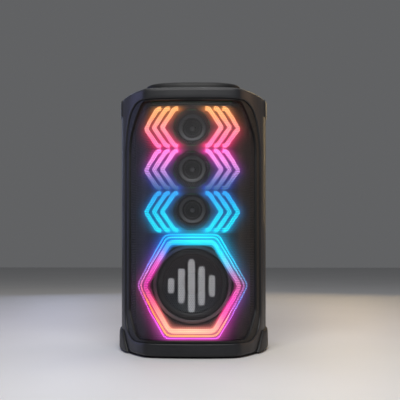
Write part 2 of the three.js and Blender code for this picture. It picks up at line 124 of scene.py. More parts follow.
DENSE = relax(catmull(_ctrl), 5.0)
_seg = np.linalg.norm(np.roll(DENSE, -1, 0) - DENSE, axis=1)
ARC = np.concatenate([[0], np.cumsum(_seg)])
TOTAL = ARC[-1]
_tan = np.roll(DENSE, -1, 0) - np.roll(DENSE, 1, 0)
_tan /= np.linalg.norm(_tan, axis=1)[:, None]
NORM = np.stack([_tan[:, 1], -_tan[:, 0]], 1)


def smooth_closed(v, sigma_mm):
    """v spread along the closed curve with a bell of the given width."""
    m = int(TOTAL)
    grid = np.arange(m) / m * TOTAL
    at = [np.interp(grid, ARC, np.append(v[:, c], v[0, c])) for c in (0, 1)]
    f = np.fft.rfftfreq(m, d=TOTAL / m)
    bell = np.exp(-2 * (math.pi * f * sigma_mm) ** 2)
    at = np.stack([np.fft.irfft(np.fft.rfft(a) * bell, m) for a in at], 1)
    back = np.stack([np.interp(ARC[:-1], np.append(grid, TOTAL), np.append(at[:, c], at[0, c])) for c in (0, 1)], 1)
    return back / np.linalg.norm(back, axis=1)[:, None]


SOFT = smooth_closed(NORM, 9.0)
STEP = SOFT / np.sum(SOFT * NORM, axis=1)[:, None]


def _wrap(a):
    return np.append(a, a[0])


def plan_point(s, inset):
    """Points on the outer plan at arc length s (0 at the front, + to the right), moved in by inset."""
    s = np.mod(np.asarray(s, float), TOTAL)
    inset = np.asarray(inset, float)
    x = np.interp(s, ARC, _wrap(DENSE[:, 0])) - inset * np.interp(s, ARC, _wrap(STEP[:, 0]))
    y = np.interp(s, ARC, _wrap(DENSE[:, 1])) - inset * np.interp(s, ARC, _wrap(STEP[:, 1]))
    return x, y


_front = ARC[:-1] < TOTAL / 2
_fx, _fs = DENSE[_front, 0], ARC[:-1][_front]
_rise = int(np.argmax(_fx))


def s_of_x(x):
    """Arc length of the outer plan's front part at width x."""
    return np.sign(x) * np.interp(np.abs(x), _fx[: _rise + 1], _fs[: _rise + 1])


def s_of_depth(d):
    """Arc length of the right side at depth d, ahead of the widest point."""
    y = DENSE[_front, 1]
    return float(np.interp(yat(d), y[: _rise + 30], _fs[: _rise + 30]))


_planes = NORM[:, 1] < -0.02
_pn, _pc = NORM[_planes], np.sum(NORM[_planes] * DENSE[_planes], axis=1)
_pn, _pc = _pn[::2], _pc[::2]


def front_y(x, inset):
    """y of the front wall, moved in by inset, at width x: exact for large insets too."""
    x = np.asarray(x, float)
    inset = np.broadcast_to(np.asarray(inset, float), x.shape)
    out = np.full(x.shape, -1e9)
    flat_x, flat_i, flat_o = x.ravel(), inset.ravel(), out.ravel()
    for a in range(0, len(flat_x), 20000):
        b = a + 20000
        v = (np.outer(flat_x[a:b], _pn[:, 0]) - _pc[None, :] + flat_i[a:b, None]) / -_pn[None, :, 1]
        flat_o[a:b] = v.max(1)
    return flat_o.reshape(x.shape)


# ------------------------------------------------------------------ meshes


def make(name, verts, faces, body, material, node=None, smooth=True):
    """A Blender piece from points in millimetres. Faces may be a list or an array of quads."""
    me = bpy.data.meshes.new(name)
    verts = np.asarray(verts, float) * MM
    me.from_pydata(verts.tolist(), [], faces if isinstance(faces, list) else faces.tolist())
    me.validate()
    me.update()
    ob = bpy.data.objects.new(name, me)
    bpy.context.scene.collection.objects.link(ob)
    if smooth:
        me.polygons.foreach_set("use_smooth", [True] * len(me.polygons))
    me.materials.append(material)
    if body:
        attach(ob, body)
    if node:
        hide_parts(*([node] if isinstance(node, str) else node))
    return ob


def outward(ob):
    bm = bmesh.new()
    bm.from_mesh(ob.data)
    bmesh.ops.recalc_face_normals(bm, faces=bm.faces)
    bm.to_mesh(ob.data)
    bm.free()
    return ob


def sharp(ob, degrees=32):
    """Marks edges sharper than the angle, so flat faces shade flat and curves smooth."""
    ob.data.set_sharp_from_angle(angle=math.radians(degrees))
    return ob


def apply_modifiers(ob):
    deps = bpy.context.evaluated_depsgraph_get()
    me = bpy.data.meshes.new_from_object(ob.evaluated_get(deps))
    old = ob.data
    ob.modifiers.clear()
    ob.data = me
    bpy.data.meshes.remove(old)
    return ob


def bevelled(ob, width, segments=2, angle=35):
    m = ob.modifiers.new("bevel", "BEVEL")
    m.width = width * MM
    m.segments = segments
    m.limit_method = "ANGLE"
    m.angle_limit = math.radians(angle)
    m.harden_normals = False
    apply_modifiers(ob)
    ob.data.polygons.foreach_set("use_smooth", [True] * len(ob.data.polygons))
    return sharp(ob, 50)


def boolean(ob, cutter, operation="DIFFERENCE"):
    m = ob.modifiers.new("cut", "BOOLEAN")
    m.operation = operation
    m.object = cutter
    m.solver = "EXACT"
    apply_modifiers(ob)
    data = cutter.data
    bpy.data.objects.remove(cutter)
    bpy.data.meshes.remove(data)
    return ob


def raw(name, verts, faces):
    me = bpy.data.meshes.new(name)
    me.from_pydata((np.asarray(verts, float) * MM).tolist(), [], faces)
    ob = bpy.data.objects.new(name, me)
    bpy.context.scene.collection.objects.link(ob)
    return outward(ob)


def raw_box(x0, x1, y0, y1, z0, z1):
    v = [(x, y, z) for x in (x0, x1) for y in (y0, y1) for z in (z0, z1)]
    f = [(0, 1, 3, 2), (4, 6, 7, 5), (0, 4, 5, 1), (2, 3, 7, 6), (0, 2, 6, 4), (1, 5, 7, 3)]
    return raw("box", v, f)


def torus_faces(n, k, closed_n=True):
    """Quads of an n by k grid of points whose k direction always closes."""
    i = np.arange(n if closed_n else n - 1)
    j = np.arange(k)
    a = (i[:, None] * k + j[None, :]).ravel()
    b = (i[:, None] * k + (j[None, :] + 1) % k).ravel()
    c = (((i[:, None] + 1) % n) * k + (j[None, :] + 1) % k).ravel()
    d = (((i[:, None] + 1) % n) * k + j[None, :]).ravel()
    return np.stack([a, b, c, d], 1).tolist()


def turned(name, profile, centre, body, material, node=None, segments=96, axis="y", angle=40):
    """A turned piece: profile points (radius, height along the axis), closed on itself or on the axis."""
    on_axis = profile[0][0] == 0
    pts = list(profile)
    verts, faces = [], []
    inner = pts[1:-1] if on_axis else pts
    k = len(inner)
    for i in range(segments):
        t = 2 * math.pi * i / segments
        for r, h in inner:
            verts.append((r * math.cos(t), h, r * math.sin(t)))
    for i in range(segments):
        i2 = (i + 1) % segments
        for j in range(k if not on_axis else k - 1):
            j2 = (j + 1) % k
            faces.append((i * k + j, i * k + j2, i2 * k + j2, i2 * k + j))
    if on_axis:
        a = len(verts)
        verts.append((0, pts[0][1], 0))
        verts.append((0, pts[-1][1], 0))
        for i in range(segments):
            i2 = (i + 1) % segments
            faces.append((a, i * k, i2 * k))
            faces.append((a + 1, i2 * k + k - 1, i * k + k - 1))
    v = np.array(verts)
    if axis == "z":
        v = v[:, [0, 2, 1]]
    v = v + np.array(centre)[None, :]
    ob = make(name, v, faces, body, material, node)
    outward(ob)
    return sharp(ob, angle)


def arc_points(c, r, a0, a1, n):
    return [(c[0] + r * math.cos(math.radians(a0 + (a1 - a0) * i / n)),
             c[1] + r * math.sin(math.radians(a0 + (a1 - a0) * i / n))) for i in range(n + 1)]


# ------------------------------------------------------------------ materials


def lin(h):
    c = [int(h[i : i + 2], 16) / 255 for i in (0, 2, 4)]
    return [v / 12.92 if v <= 0.04045 else ((v + 0.055) / 1.055) ** 2.4 for v in c]


class Mat:
    """A Principled material with small helpers for its procedural nodes."""

    def __init__(self, name):
        self.m = bpy.data.materials.new(name)
        self.m.use_nodes = True
        self.t = self.m.node_tree
        self.p = self.t.nodes["Principled BSDF"]
        self.coord = self.t.nodes.new("ShaderNodeTexCoord").outputs["Object"]

    def node(self, kind, **values):
        n = self.t.nodes.new(kind)
        for k, v in values.items():
            if k in n.inputs.keys():
                n.inputs[k].default_value = v
            else:
                setattr(n, k, v)
        return n

    def link(self, a, b):
        self.t.links.new(a, b)

    def noise(self, scale, detail=3.0, rough=0.5, stretch=None):
        n = self.node("ShaderNodeTexNoise")
        n.inputs["Scale"].default_value = scale
        n.inputs["Detail"].default_value = detail
        n.inputs["Roughness"].default_value = rough
        source = self.coord
        if stretch:
            m = self.node("ShaderNodeMapping")
            m.inputs["Scale"].default_value = stretch
            self.link(self.coord, m.inputs["Vector"])
            source = m.outputs["Vector"]
        self.link(source, n.inputs["Vector"])
        return n.outputs["Fac"]

    def voronoi(self, scale, feature="F1"):
        n = self.node("ShaderNodeTexVoronoi")
        n.feature = feature
        n.inputs["Scale"].default_value = scale
        self.link(self.coord, n.inputs["Vector"])
        return n.outputs["Distance"]

    def ramp(self, fac, stops):
        r = self.node("ShaderNodeValToRGB")
        e = r.color_ramp.elements
        while len(e) > 1:
            e.remove(e[-1])
        e[0].position, e[0].color = stops[0][0], (*stops[0][1], 1)
        for pos, c in stops[1:]:
            x = e.new(pos)
            x.color = (*c, 1)
        self.link(fac, r.inputs["Fac"])
        return r.outputs["Color"]

    def value(self, fac, lo, hi, a=0.3, b=0.7):
        n = self.node("ShaderNodeMapRange")
        n.inputs["From Min"].default_value = a
        n.inputs["From Max"].default_value = b
        n.inputs["To Min"].default_value = lo
        n.inputs["To Max"].default_value = hi
        self.link(fac, n.inputs["Value"])
        return n.outputs["Result"]

    def math(self, op, a, b=None):
        n = self.node("ShaderNodeMath")
        n.operation = op
        for s, v in ((0, a), (1, b)):
            if v is None:
                continue
            if isinstance(v, (int, float)):
                n.inputs[s].default_value = v
            else:
                self.link(v, n.inputs[s])
        return n.outputs[0]

    def mix(self, fac, a, b):
        n = self.node("ShaderNodeMix")
        n.data_type = "RGBA"
        for key, v in ((0, fac), (6, a), (7, b)):
            if isinstance(v, (int, float)):
                n.inputs[key].default_value = v
            elif isinstance(v, (list, tuple)):
                n.inputs[key].default_value = (*v, 1)
            else:
                self.link(v, n.inputs[key])
        return n.outputs[2]

    def bump(self, height, strength=0.2, distance=0.0004, after=None):
        n = self.node("ShaderNodeBump")
        n.inputs["Strength"].default_value = strength
        n.inputs["Distance"].default_value = distance
        self.link(height, n.inputs["Height"])
        if after is not None:
            self.link(after, n.inputs["Normal"])
        self.link(n.outputs["Normal"], self.p.inputs["Normal"])
        return n.outputs["Normal"]

    def set(self, **values):
        for k, v in values.items():
            self.p.inputs[k.replace("_", " ")].default_value = v
        return self


def plastic(name, base, rough=0.5, grain=900, depth=0.25, vary=0.25, coat=0.0, spec=0.5):
    """Moulded plastic: spark-eroded grain, faint tone patches, wiped and dusty roughness."""
    m = Mat(name)
    patch = m.noise(9, 4, 0.55)
    speck = m.noise(grain, 2, 0.6)
    lo = [c * (1 - vary) for c in base]
    hi = [c * (1 + vary) + 0.002 for c in base]
    tone = m.ramp(patch, [(0.3, lo), (0.7, hi)])
    m.link(m.mix(m.value(speck, 0.0, 0.28, 0.45, 0.75), tone, [min(1, c * 1.8 + 0.006) for c in base]), m.p.inputs["Base Color"])
    wipe = m.noise(28, 5, 0.6, (1, 1, 0.25))
    m.link(m.value(wipe, max(0.05, rough - 0.07), rough + 0.07), m.p.inputs["Roughness"])
    grainy = m.bump(m.voronoi(grain * 0.9), depth, 0.00025)
    m.bump(speck, depth * 0.7, 0.0002, grainy)
    m.set(Specular_IOR_Level=spec)
    if coat:
        m.set(Coat_Weight=coat, Coat_Roughness=0.12)
    return m.m


def metal(name, base, rough=0.3, brushed=None, metallic=1.0):
    m = Mat(name)
    streak = m.noise(60, 6, 0.65, brushed or (1, 1, 1))
    m.link(m.ramp(streak, [(0.3, [c * 0.82 for c in base]), (0.7, [min(1, c * 1.1) for c in base])]), m.p.inputs["Base Color"])
    m.link(m.value(streak, rough - 0.08, rough + 0.1), m.p.inputs["Roughness"])
    m.bump(streak, 0.12, 0.0002)
    m.set(Metallic=metallic)
    return m.m


def rubber(name, base, rough=0.78):
    m = Mat(name)
    n = m.noise(420, 4, 0.6)
    dust = m.noise(16, 4, 0.6)
    m.link(m.ramp(dust, [(0.35, base), (0.8, [c * 1.7 + 0.004 for c in base])]), m.p.inputs["Base Color"])
    m.link(m.value(n, rough - 0.08, rough + 0.06), m.p.inputs["Roughness"])
    m.bump(n, 0.3, 0.0003)
    return m.m


FRAME = plastic("frame_plastic_look", lin("1f2023"), 0.42, 1000, 0.2, 0.12, spec=0.28)
TRIM = plastic("trim_plastic_look", lin("0a0b0c"), 0.6, 1100, 0.15, 0.2, spec=0.35)
CABINET = plastic("cabinet_plastic_look", lin("151618"), 0.58, 620, 0.5, 0.18)
# SKIRT is darker than FRAME: partly the skirt's own near-black plastic, partly painted shade for the dark foot of the
# speaker
SKIRT = plastic("skirt_plastic_look", lin("0b0c0e"), 0.5, 900, 0.25, 0.18, spec=0.25)
HANDLE = plastic("handle_plastic_look", lin("101113"), 0.55, 1000, 0.25, 0.14, spec=0.25)
DECK = plastic("deck_plastic_look", lin("1c1d20"), 0.52, 800, 0.35, 0.15)
GLOSS = plastic("panel_gloss_look", lin("0e0e10"), 0.13, 1500, 0.03, 0.1, 0.6)
BUTTON = plastic("button_plastic_look", lin("25272a"), 0.5, 1100, 0.2, 0.15)
KNOB = plastic("knob_plastic_look", lin("26272a"), 0.42, 900, 0.2, 0.15)
RING = plastic("ring_gloss_look", lin("85878d"), 0.28, 1500, 0.05, 0.15, 0.3)
INNER = plastic("inner_plastic_look", lin("17181a"), 0.6, 700, 0.3, 0.2)
PORT = plastic("port_plastic_look", lin("131315"), 0.35, 1200, 0.12, 0.2)
FOOT = rubber("foot_rubber_look", lin("161617"))
FLAP = rubber("flap_rubber_look", lin("1b1c1e"), 0.7)
SURROUND = rubber("surround_rubber_look", lin("232428"), 0.45)
STEEL = metal("steel_look", (0.55, 0.55, 0.57), 0.28, (1, 6, 6))
CHROME = metal("chrome_look", (0.75, 0.75, 0.77), 0.12)
ALU = metal("aluminium_look", (0.5, 0.5, 0.52), 0.38, (1, 8, 1))
IRON = metal("magnet_look", (0.12, 0.12, 0.125), 0.55)
BASKET = metal("basket_look", (0.05, 0.05, 0.055), 0.42)


def cone_look():
    m = Mat("cone_polymer_look")
    fibre = m.noise(260, 5, 0.65, (1, 0.3, 1))
    m.link(m.ramp(fibre, [(0.3, lin("26282d")), (0.7, lin("383b41"))]), m.p.inputs["Base Color"])
    m.link(m.value(fibre, 0.3, 0.48), m.p.inputs["Roughness"])
    m.bump(fibre, 0.25, 0.0003)
    m.set(Coat_Weight=0.15, Coat_Roughness=0.3)
    return m.m


CONE = cone_look()


def board_look():
    m = Mat("circuit_board_look")
    tracks = m.node("ShaderNodeTexBrick")
    tracks.inputs["Scale"].default_value = 60
    m.link(m.coord, tracks.inputs["Vector"])
    tracks.inputs["Color1"].default_value = (*lin("0f5a2e"), 1)
    tracks.inputs["Color2"].default_value = (*lin("14693a"), 1)
    tracks.inputs["Mortar"].default_value = (*lin("1f8048"), 1)
    m.link(m.mix(m.value(m.noise(40), 0.0, 0.5), tracks.outputs["Color"], lin("0a3a1e")), m.p.inputs["Base Color"])
    m.link(m.value(m.noise(90), 0.3, 0.5), m.p.inputs["Roughness"])
    m.bump(tracks.outputs["Fac"], 0.3, 0.0002)
    return m.m


BOARD = board_look()
WRAP = plastic("battery_wrap_look", lin("24406e"), 0.3, 300, 0.3, 0.2)


def grille_look():
    """Black enamelled sheet; the printed emblem is a paler enamel held in a point attribute."""
    m = Mat("grille_steel_look")
    a = m.node("ShaderNodeAttribute")
    a.attribute_name = "print"
    n = m.noise(300, 3, 0.6)
    black = m.ramp(m.noise(6, 4, 0.6), [(0.3, lin("131417")), (0.7, lin("1c1d21"))])
    pale = m.ramp(n, [(0.3, lin("dcdde3")), (0.7, lin("f0f1f6"))])
    m.link(m.mix(a.outputs["Fac"], black, pale), m.p.inputs["Base Color"])
    m.link(m.value(n, 0.3, 0.44), m.p.inputs["Roughness"])
    m.bump(n, 0.15, 0.0002)
    m.set(Metallic=0.1, Specular_IOR_Level=0.75)
    return m.m


GRILLE = grille_look()


def glow_look(name, base, rough, strength, attr="glow"):
    m = Mat(name)
    a = m.node("ShaderNodeAttribute")
    a.attribute_name = attr
    n = m.noise(500, 2, 0.5)
    m.link(m.ramp(n, [(0.3, [c * 0.9 for c in base]), (0.7, base)]), m.p.inputs["Base Color"])
    m.link(m.value(n, rough - 0.05, rough + 0.08), m.p.inputs["Roughness"])
    m.link(a.outputs["Color"], m.p.inputs["Emission Color"])
    m.set(Emission_Strength=strength)
    return m.m


RING_LIT = glow_look("ring_lit_look", lin("7e8086"), 0.28, 1.0)
BAR = glow_look("light_bar_look", (0.03, 0.03, 0.032), 0.45, 2.15)
HALO = glow_look("light_plate_look", (0.012, 0.012, 0.015), 0.5, 1.0)
ICON = glow_look("icon_look", (0.5, 0.5, 0.52), 0.4, 0.6)


def paint(ob, colours):
    """Gives each point a colour."""
    at = ob.data.color_attributes.new("glow", "FLOAT_COLOR", "POINT")
    c = np.ones((len(ob.data.vertices), 4), np.float32)
    c[:, :3] = colours
    at.data.foreach_set("color", c.ravel())


# ------------------------------------------------------------------ front frame and trim

S_BACK = s_of_depth(128)
S_RAIL = float(s_of_x(np.array([140.5]))[0])
FRAME_WINDOW = [
    (0, 503.5), (101, 503.5), (110, 501), (117, 496), (125, 486), (131, 471), (136, 449), (139, 425),
    (140.5, 402), (140.5, 92), (139, 68), (134, 46), (126, 35), (114, 29), (0, 29),
]
TRIM_WINDOW = [
    (0, 500.5), (95, 500.5), (101, 497.5), (106, 490), (114, 476), (122, 458), (128.5, 441), (132, 421),
    (133, 402), (133, 90), (130, 76), (119, 46), (112, 38), (104, 34), (0, 34),
]


def soft_path(points, counts):
    """Samples a half outline by control index, smooth through its corners."""
    pts = [np.array(p, float) for p in points]
    out = []
    for i in range(len(pts) - 1):
        p1, p2 = pts[i], pts[i + 1]
        p0 = pts[i - 1] if i else 2 * p1 - p2
        p3 = pts[i + 2] if i + 2 < len(pts) else 2 * p2 - p1
        long = np.linalg.norm(p2 - p1)
        m1 = (p2 - p0) / max(np.linalg.norm(p2 - p0), 1e-9) * long
        m2 = (p3 - p1) / max(np.linalg.norm(p3 - p1), 1e-9) * long
        if long > 60:
            m1 = m2 = p2 - p1
        for k in range(counts[i]):
            t = k / counts[i]
            out.append((2 * t**3 - 3 * t**2 + 1) * p1 + (t**3 - 2 * t**2 + t) * m1
                       + (-2 * t**3 + 3 * t**2) * p2 + (t**3 - t**2) * m2)
    out.append(pts[-1])
    return np.array(out)


def straight_path(points, counts):
    pts = [np.array(p, float) for p in points]
    out = []
    for i in range(len(pts) - 1):
        for k in range(counts[i]):
            out.append(pts[i] + (pts[i + 1] - pts[i]) * k / counts[i])
    out.append(pts[-1])
    return np.array(out)


COUNTS = [48, 4, 4, 8, 8, 8, 8, 8, 60, 6, 14, 4, 4, 48]


def to_s(path):
    return np.stack([s_of_x(path[:, 0]), path[:, 1]], 1)


def both_sides(path):
    """Right half, top centre to bottom centre, then the left half back up."""
    left = path[-2:0:-1].copy()
    left[:, 0] *= -1
    return np.concatenate([path, left])


def band(name, inner, outer, profile, body, material, node):
    """A closed moulding that runs between two matched outlines in (s, z).
    profile(inner point, outer point) gives the section as (mm from the inner edge, or from
    the outer edge if negative, inset)."""
    verts = []
    for a, b in zip(inner, outer):
        width = np.linalg.norm(b - a)
        way = (b - a) / max(width, 1e-9)
        for off, inset in profile(a, b, width):
            p = a + way * off if off >= 0 else b + way * (off + 1e-9)
            x, y = plan_point(p[0], inset)
            verts.append((float(x), float(y), p[1]))
    n = len(inner)
    k = len(verts) // n
    ob = make(name, verts, torus_faces(n, k), body, material, node)
    outward(ob)
    return sharp(ob, 38)


win = both_sides(to_s(soft_path(FRAME_WINDOW, COUNTS)))
S1 = S_BACK
edge = both_sides(straight_path([
    (0, 525), (s_of_x(np.array([100.]))[0], 525), (s_of_x(np.array([108.]))[0], 525), (s_of_x(np.array([118.]))[0], 525),
    (s_of_x(np.array([134.]))[0], 525), (S1, 525), (S1, 480), (S1, 440),
    (S1, 402), (S1, 92), (S1, 58), (S1, 4), (s_of_x(np.array([124.]))[0], 4), (s_of_x(np.array([108.]))[0], 4), (0, 4),
], COUNTS))


def frame_section(a, b, width):
    flat = min(abs(b[1] - 525), abs(b[1] - 4))
    bevel = 4.0 if flat < 0.01 else 0.5
    return [
        (0, 14), (0, 8), (0, 2.4), (0.35, 1.1), (1.1, 0.35), (2.4, 0), (width * 0.33, 0), (width * 0.66, 0),
        (-bevel * 1.15, 0), (-bevel * 0.95, 0.06 * bevel), (-bevel * 0.5, 0.42 * bevel), (-0.06 * bevel, 0.92 * bevel), (-1e-6, bevel * 1.15),
        (-1e-6, 14),
    ]


front_frame = band("front_frame_moulding", win, edge, frame_section, "housing", FRAME, "front_frame")


def trim_section(a, b, width):
    r = 0.8
    return [(0, 13), (0, 3 + 2 * r), (0.25 * r, 3 + 0.6 * r), (r, 3.05), (width - r, 3.05), (width - 0.3 * r, 3 + 0.5 * r), (width, 3 + 2 * r), (width, 13)]


trim_outer = soft_path([(x if x == 0 else x - 0.5, z - 0.4 if z > 250 else z + 0.4 if z < 60 else z) for x, z in FRAME_WINDOW], COUNTS)
trim_inner = soft_path(TRIM_WINDOW, COUNTS)
grille_trim = band("grille_trim_moulding", both_sides(to_s(trim_inner)), both_sides(to_s(trim_outer)), trim_section, "housing", TRIM, "grille_trim")

# ------------------------------------------------------------------ perforated grille

PITCH = 3.9
HOLE = 0.455
G0, G1 = 7.5, 8.1


def inside_outline(path, x, z):
    """Which points lie inside a closed outline."""
    x, z = np.asarray(x), np.asarray(z)
    px, pz = path[:, 0], path[:, 1]
    qx, qz = np.roll(px, -1), np.roll(pz, -1)
    hit = np.zeros(x.shape, bool)
    for a, b, c, d in zip(px, pz, qx, qz):
        if b == d:
            continue
        crosses = (b > z) != (d > z)
        hit ^= crosses & (x < (c - a) * (z - b) / (d - b) + a)
    return hit


grille_outline = both_sides(to_s(soft_path([(x if x == 0 else x + 1.6, z + 1.2 if z > 250 else z - 1.2 if z < 60 else z) for x, z in TRIM_WINDOW], COUNTS)))

ROW = PITCH * math.sqrt(3) / 2
rows = np.arange(int(480 / ROW) + 2)
cols = np.arange(-60, 61)
cc, rr = np.meshgrid(cols, rows)
gs = ((cc + 0.5 * (rr % 2)) * PITCH).ravel()
gz = (rr * ROW + 29.0).ravel()
keep = inside_outline(grille_outline, gs, gz)
gs, gz = gs[keep], gz[keep]


def emblem(s, z):
    """A generic level-meter motif: five upright bars with round ends."""
    x = s
    cz = 141.0
    on = np.zeros(x.shape, bool)
    for cx, half in ((-40, 15), (-20, 34), (0, 52), (20, 38), (40, 21)):
        w = 6.6
        dz = np.maximum(np.abs(z - cz) - (half - w), 0)
        on |= (np.abs(x - cx) ** 2 + dz**2) < w**2
    return on


def grille_piece(name, mask, replaces_node):
    cs, cz = gs[mask], gz[mask]
    n = len(cs)
    k = 6
    ang = np.radians(30 + 60 * np.arange(6))
    R = PITCH / math.sqrt(3)
    cx = cs[:, None] + R * np.cos(ang)[None, :]
    czz = cz[:, None] + R * np.sin(ang)[None, :]
    key = np.stack([np.round(cx.ravel() * 50), np.round(czz.ravel() * 50)], 1).astype(np.int64)
    _, first, where = np.unique(key, axis=0, return_index=True, return_inverse=True)
    where = where.ravel()
    cornx, cornz = cx.ravel()[first], czz.ravel()[first]
    corner = where.reshape(n, k)
    m = len(first)
    hx = cs[:, None] + PITCH * HOLE * np.cos(ang)[None, :]
    hz = cz[:, None] + PITCH * HOLE * np.sin(ang)[None, :]
    base_front_c, base_back_c = 0, m
    base_front_h, base_back_h = 2 * m, 2 * m + n * k
    S = np.concatenate([cornx, cornx, hx.ravel(), hx.ravel()])
    Z = np.concatenate([cornz, cornz, hz.ravel(), hz.ravel()])
    I = np.concatenate([np.full(m, G0), np.full(m, G1), np.full(n * k, G0), np.full(n * k, G1)])
    X, Y = plan_point(S, I)
    verts = np.stack([X, Y, Z], 1)
    j = np.arange(k)
    j2 = (j + 1) % k
    hole = np.arange(n * k).reshape(n, k)
    fc, fc2 = corner[:, j], corner[:, j2]
    fh, fh2 = hole[:, j], hole[:, j2]
    front = np.stack([fc, fc2, fh2 + base_front_h, fh + base_front_h], -1).reshape(-1, 4)
    back = np.stack([fc + base_back_c, fh + base_back_h, fh2 + base_back_h, fc2 + base_back_c], -1).reshape(-1, 4)
    wall = np.stack([fh + base_front_h, fh2 + base_front_h, fh2 + base_back_h, fh + base_back_h], -1).reshape(-1, 4)
    # rim: corner pairs used by one cell edge only
    e = np.stack([fc, fc2], -1).reshape(-1, 2)
    es = np.sort(e, 1)
    _, inv, cnt = np.unique(es, axis=0, return_inverse=True, return_counts=True)
    rim = e[cnt[inv.ravel()] == 1]
    side = np.stack([rim[:, 0], rim[:, 0] + m, rim[:, 1] + m, rim[:, 1]], 1)
    faces = np.concatenate([front, back, wall, side])
    me = bpy.data.meshes.new(name)
    me.vertices.add(len(verts))
    me.vertices.foreach_set("co", (verts * MM).astype(np.float32).ravel())
    me.loops.add(faces.size)
    me.loops.foreach_set("vertex_index", faces.astype(np.int32).ravel())
    me.polygons.add(len(faces))
    me.polygons.foreach_set("loop_start", (np.arange(len(faces)) * 4).astype(np.int32))
    me.update(calc_edges=True)
    me.validate()
    at = me.attributes.new("print", "FLOAT", "POINT")
    at.data.foreach_set("value", emblem(S, Z).astype(np.float32))
    ob = bpy.data.objects.new(name, me)
    bpy.context.scene.collection.objects.link(ob)
    me.materials.append(GRILLE)
    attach(ob, "housing")
    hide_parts(replaces_node)
    return ob


_parts = 4
_order = np.argsort(gz, kind="stable")
_edges = np.linspace(gz.min() - 1, gz.max() + 1, _parts + 1)
for i in range(_parts):
    grille_piece(f"grille_sheet_{i + 1}", (gz >= _edges[i]) & (gz < _edges[i + 1]), "grille")

# ------------------------------------------------------------------ light guides

LIGHT0, LIGHT1 = 19.0, 23.4
CELL_Z = {"top": 450.7, "middle": 368.0, "bottom": 285.3}


def mitre(path, closed):
    """Unit-width offset directions of a path in (x, z)."""
    p = np.asarray(path, float)
    n = len(p)
    out = np.zeros_like(p)
    for i in range(n):
        prev = p[i - 1] if (closed or i) else None
        nxt = p[(i + 1) % n] if (closed or i < n - 1) else None
        t1 = (p[i] - prev) / np.linalg.norm(p[i] - prev) if prev is not None else None
        t2 = (nxt - p[i]) / np.linalg.norm(nxt - p[i]) if nxt is not None else None
        if t1 is None:
            t1 = t2
        if t2 is None:
            t2 = t1
        n1, n2 = np.array([-t1[1], t1[0]]), np.array([-t2[1], t2[0]])
        m = n1 + n2
        m /= np.linalg.norm(m)
        out[i] = m / max(0.35, float(np.dot(m, n1)))
    return out


def refine(path, closed, step=4.0):
    p = [np.array(q, float) for q in path]
    out = []
    n = len(p)
    for i in range(n if closed else n - 1):
        a, b = p[i], p[(i + 1) % n]
        k = max(1, int(np.linalg.norm(b - a) / step))
        out += [a + (b - a) * j / k for j in range(k)]
    if not closed:
        out.append(p[-1])
    return np.array(out)


def light_bar(path, width, closed, i0=LIGHT0, i1=LIGHT1):
    """Points and faces of one bar that follows the curved plate."""
    p = refine(path, closed)
    m = mitre(p, closed)
    r = 0.9
    section = [(-width / 2, i1), (-width / 2, i0 + r), (-width / 2 + r, i0), (0, i0 - 0.15), (width / 2 - r, i0), (width / 2, i0 + r), (width / 2, i1)]
    k = len(section)
    pts = np.concatenate([(p + m * w)[:, None, :] for w, _ in section], 1)
    ins = np.broadcast_to(np.array([s[1] for s in section])[None, :], pts.shape[:2])
    x, z = pts[..., 0], pts[..., 1]
    y = front_y(x, ins)
    v = np.stack([x, y, z], -1).reshape(-1, 3)
    f = torus_faces(len(p), k, closed)
    if not closed:
        f.append(tuple(range(k)))
        f.append(tuple(range((len(p) - 1) * k, len(p) * k))[::-1])
    return v, f


def mixc(stops, t):
    t = np.asarray(t, float)
    pos = [s[0] for s in stops]
    return np.stack([np.interp(t, pos, [s[1][c] for s in stops]) for c in range(3)], -1)


BAR_COLOURS = {
    "top": [(-1, (1.0, 0.16, 0.46)), (-0.6, (0.95, 0.15, 0.34)), (0.0, (0.90, 0.25, 0.27)), (0.5, (0.92, 0.33, 0.15)), (1, (0.95, 0.40, 0.13))],
    "middle": [(-1, (0.02, 0.09, 0.28)), (-0.55, (0.12, 0.14, 0.40)), (0.0, (0.44, 0.19, 0.55)), (0.5, (0.80, 0.22, 0.64)), (1, (0.92, 0.18, 0.62))],
    "bottom": [(-1, (0.0, 0.62, 0.78)), (0.0, (0.0, 0.50, 0.72)), (0.6, (0.01, 0.36, 0.78)), (1, (0.01, 0.28, 0.72))],
}
HALO_COLOURS = {
    "top": [(-1, (0.85, 0.01, 0.16)), (0.0, (0.62, 0.04, 0.07)), (0.5, (0.55, 0.09, 0.02)), (1, (0.45, 0.14, 0.02))],
    "middle": [(-1, (0.01, 0.06, 0.38)), (-0.3, (0.05, 0.03, 0.30)), (0.3, (0.28, 0.02, 0.36)), (1, (0.80, 0.01, 0.30))],
    "bottom": [(-1, (0.0, 0.30, 0.60)), (0.0, (0.0, 0.19, 0.55)), (1, (0.01, 0.10, 0.42))],
}
SLANT, RISE, BAR_W = 24.0, 38.0, 9.5
TIPS = (96.5, 79.5, 63.0)
bar_lines = {}
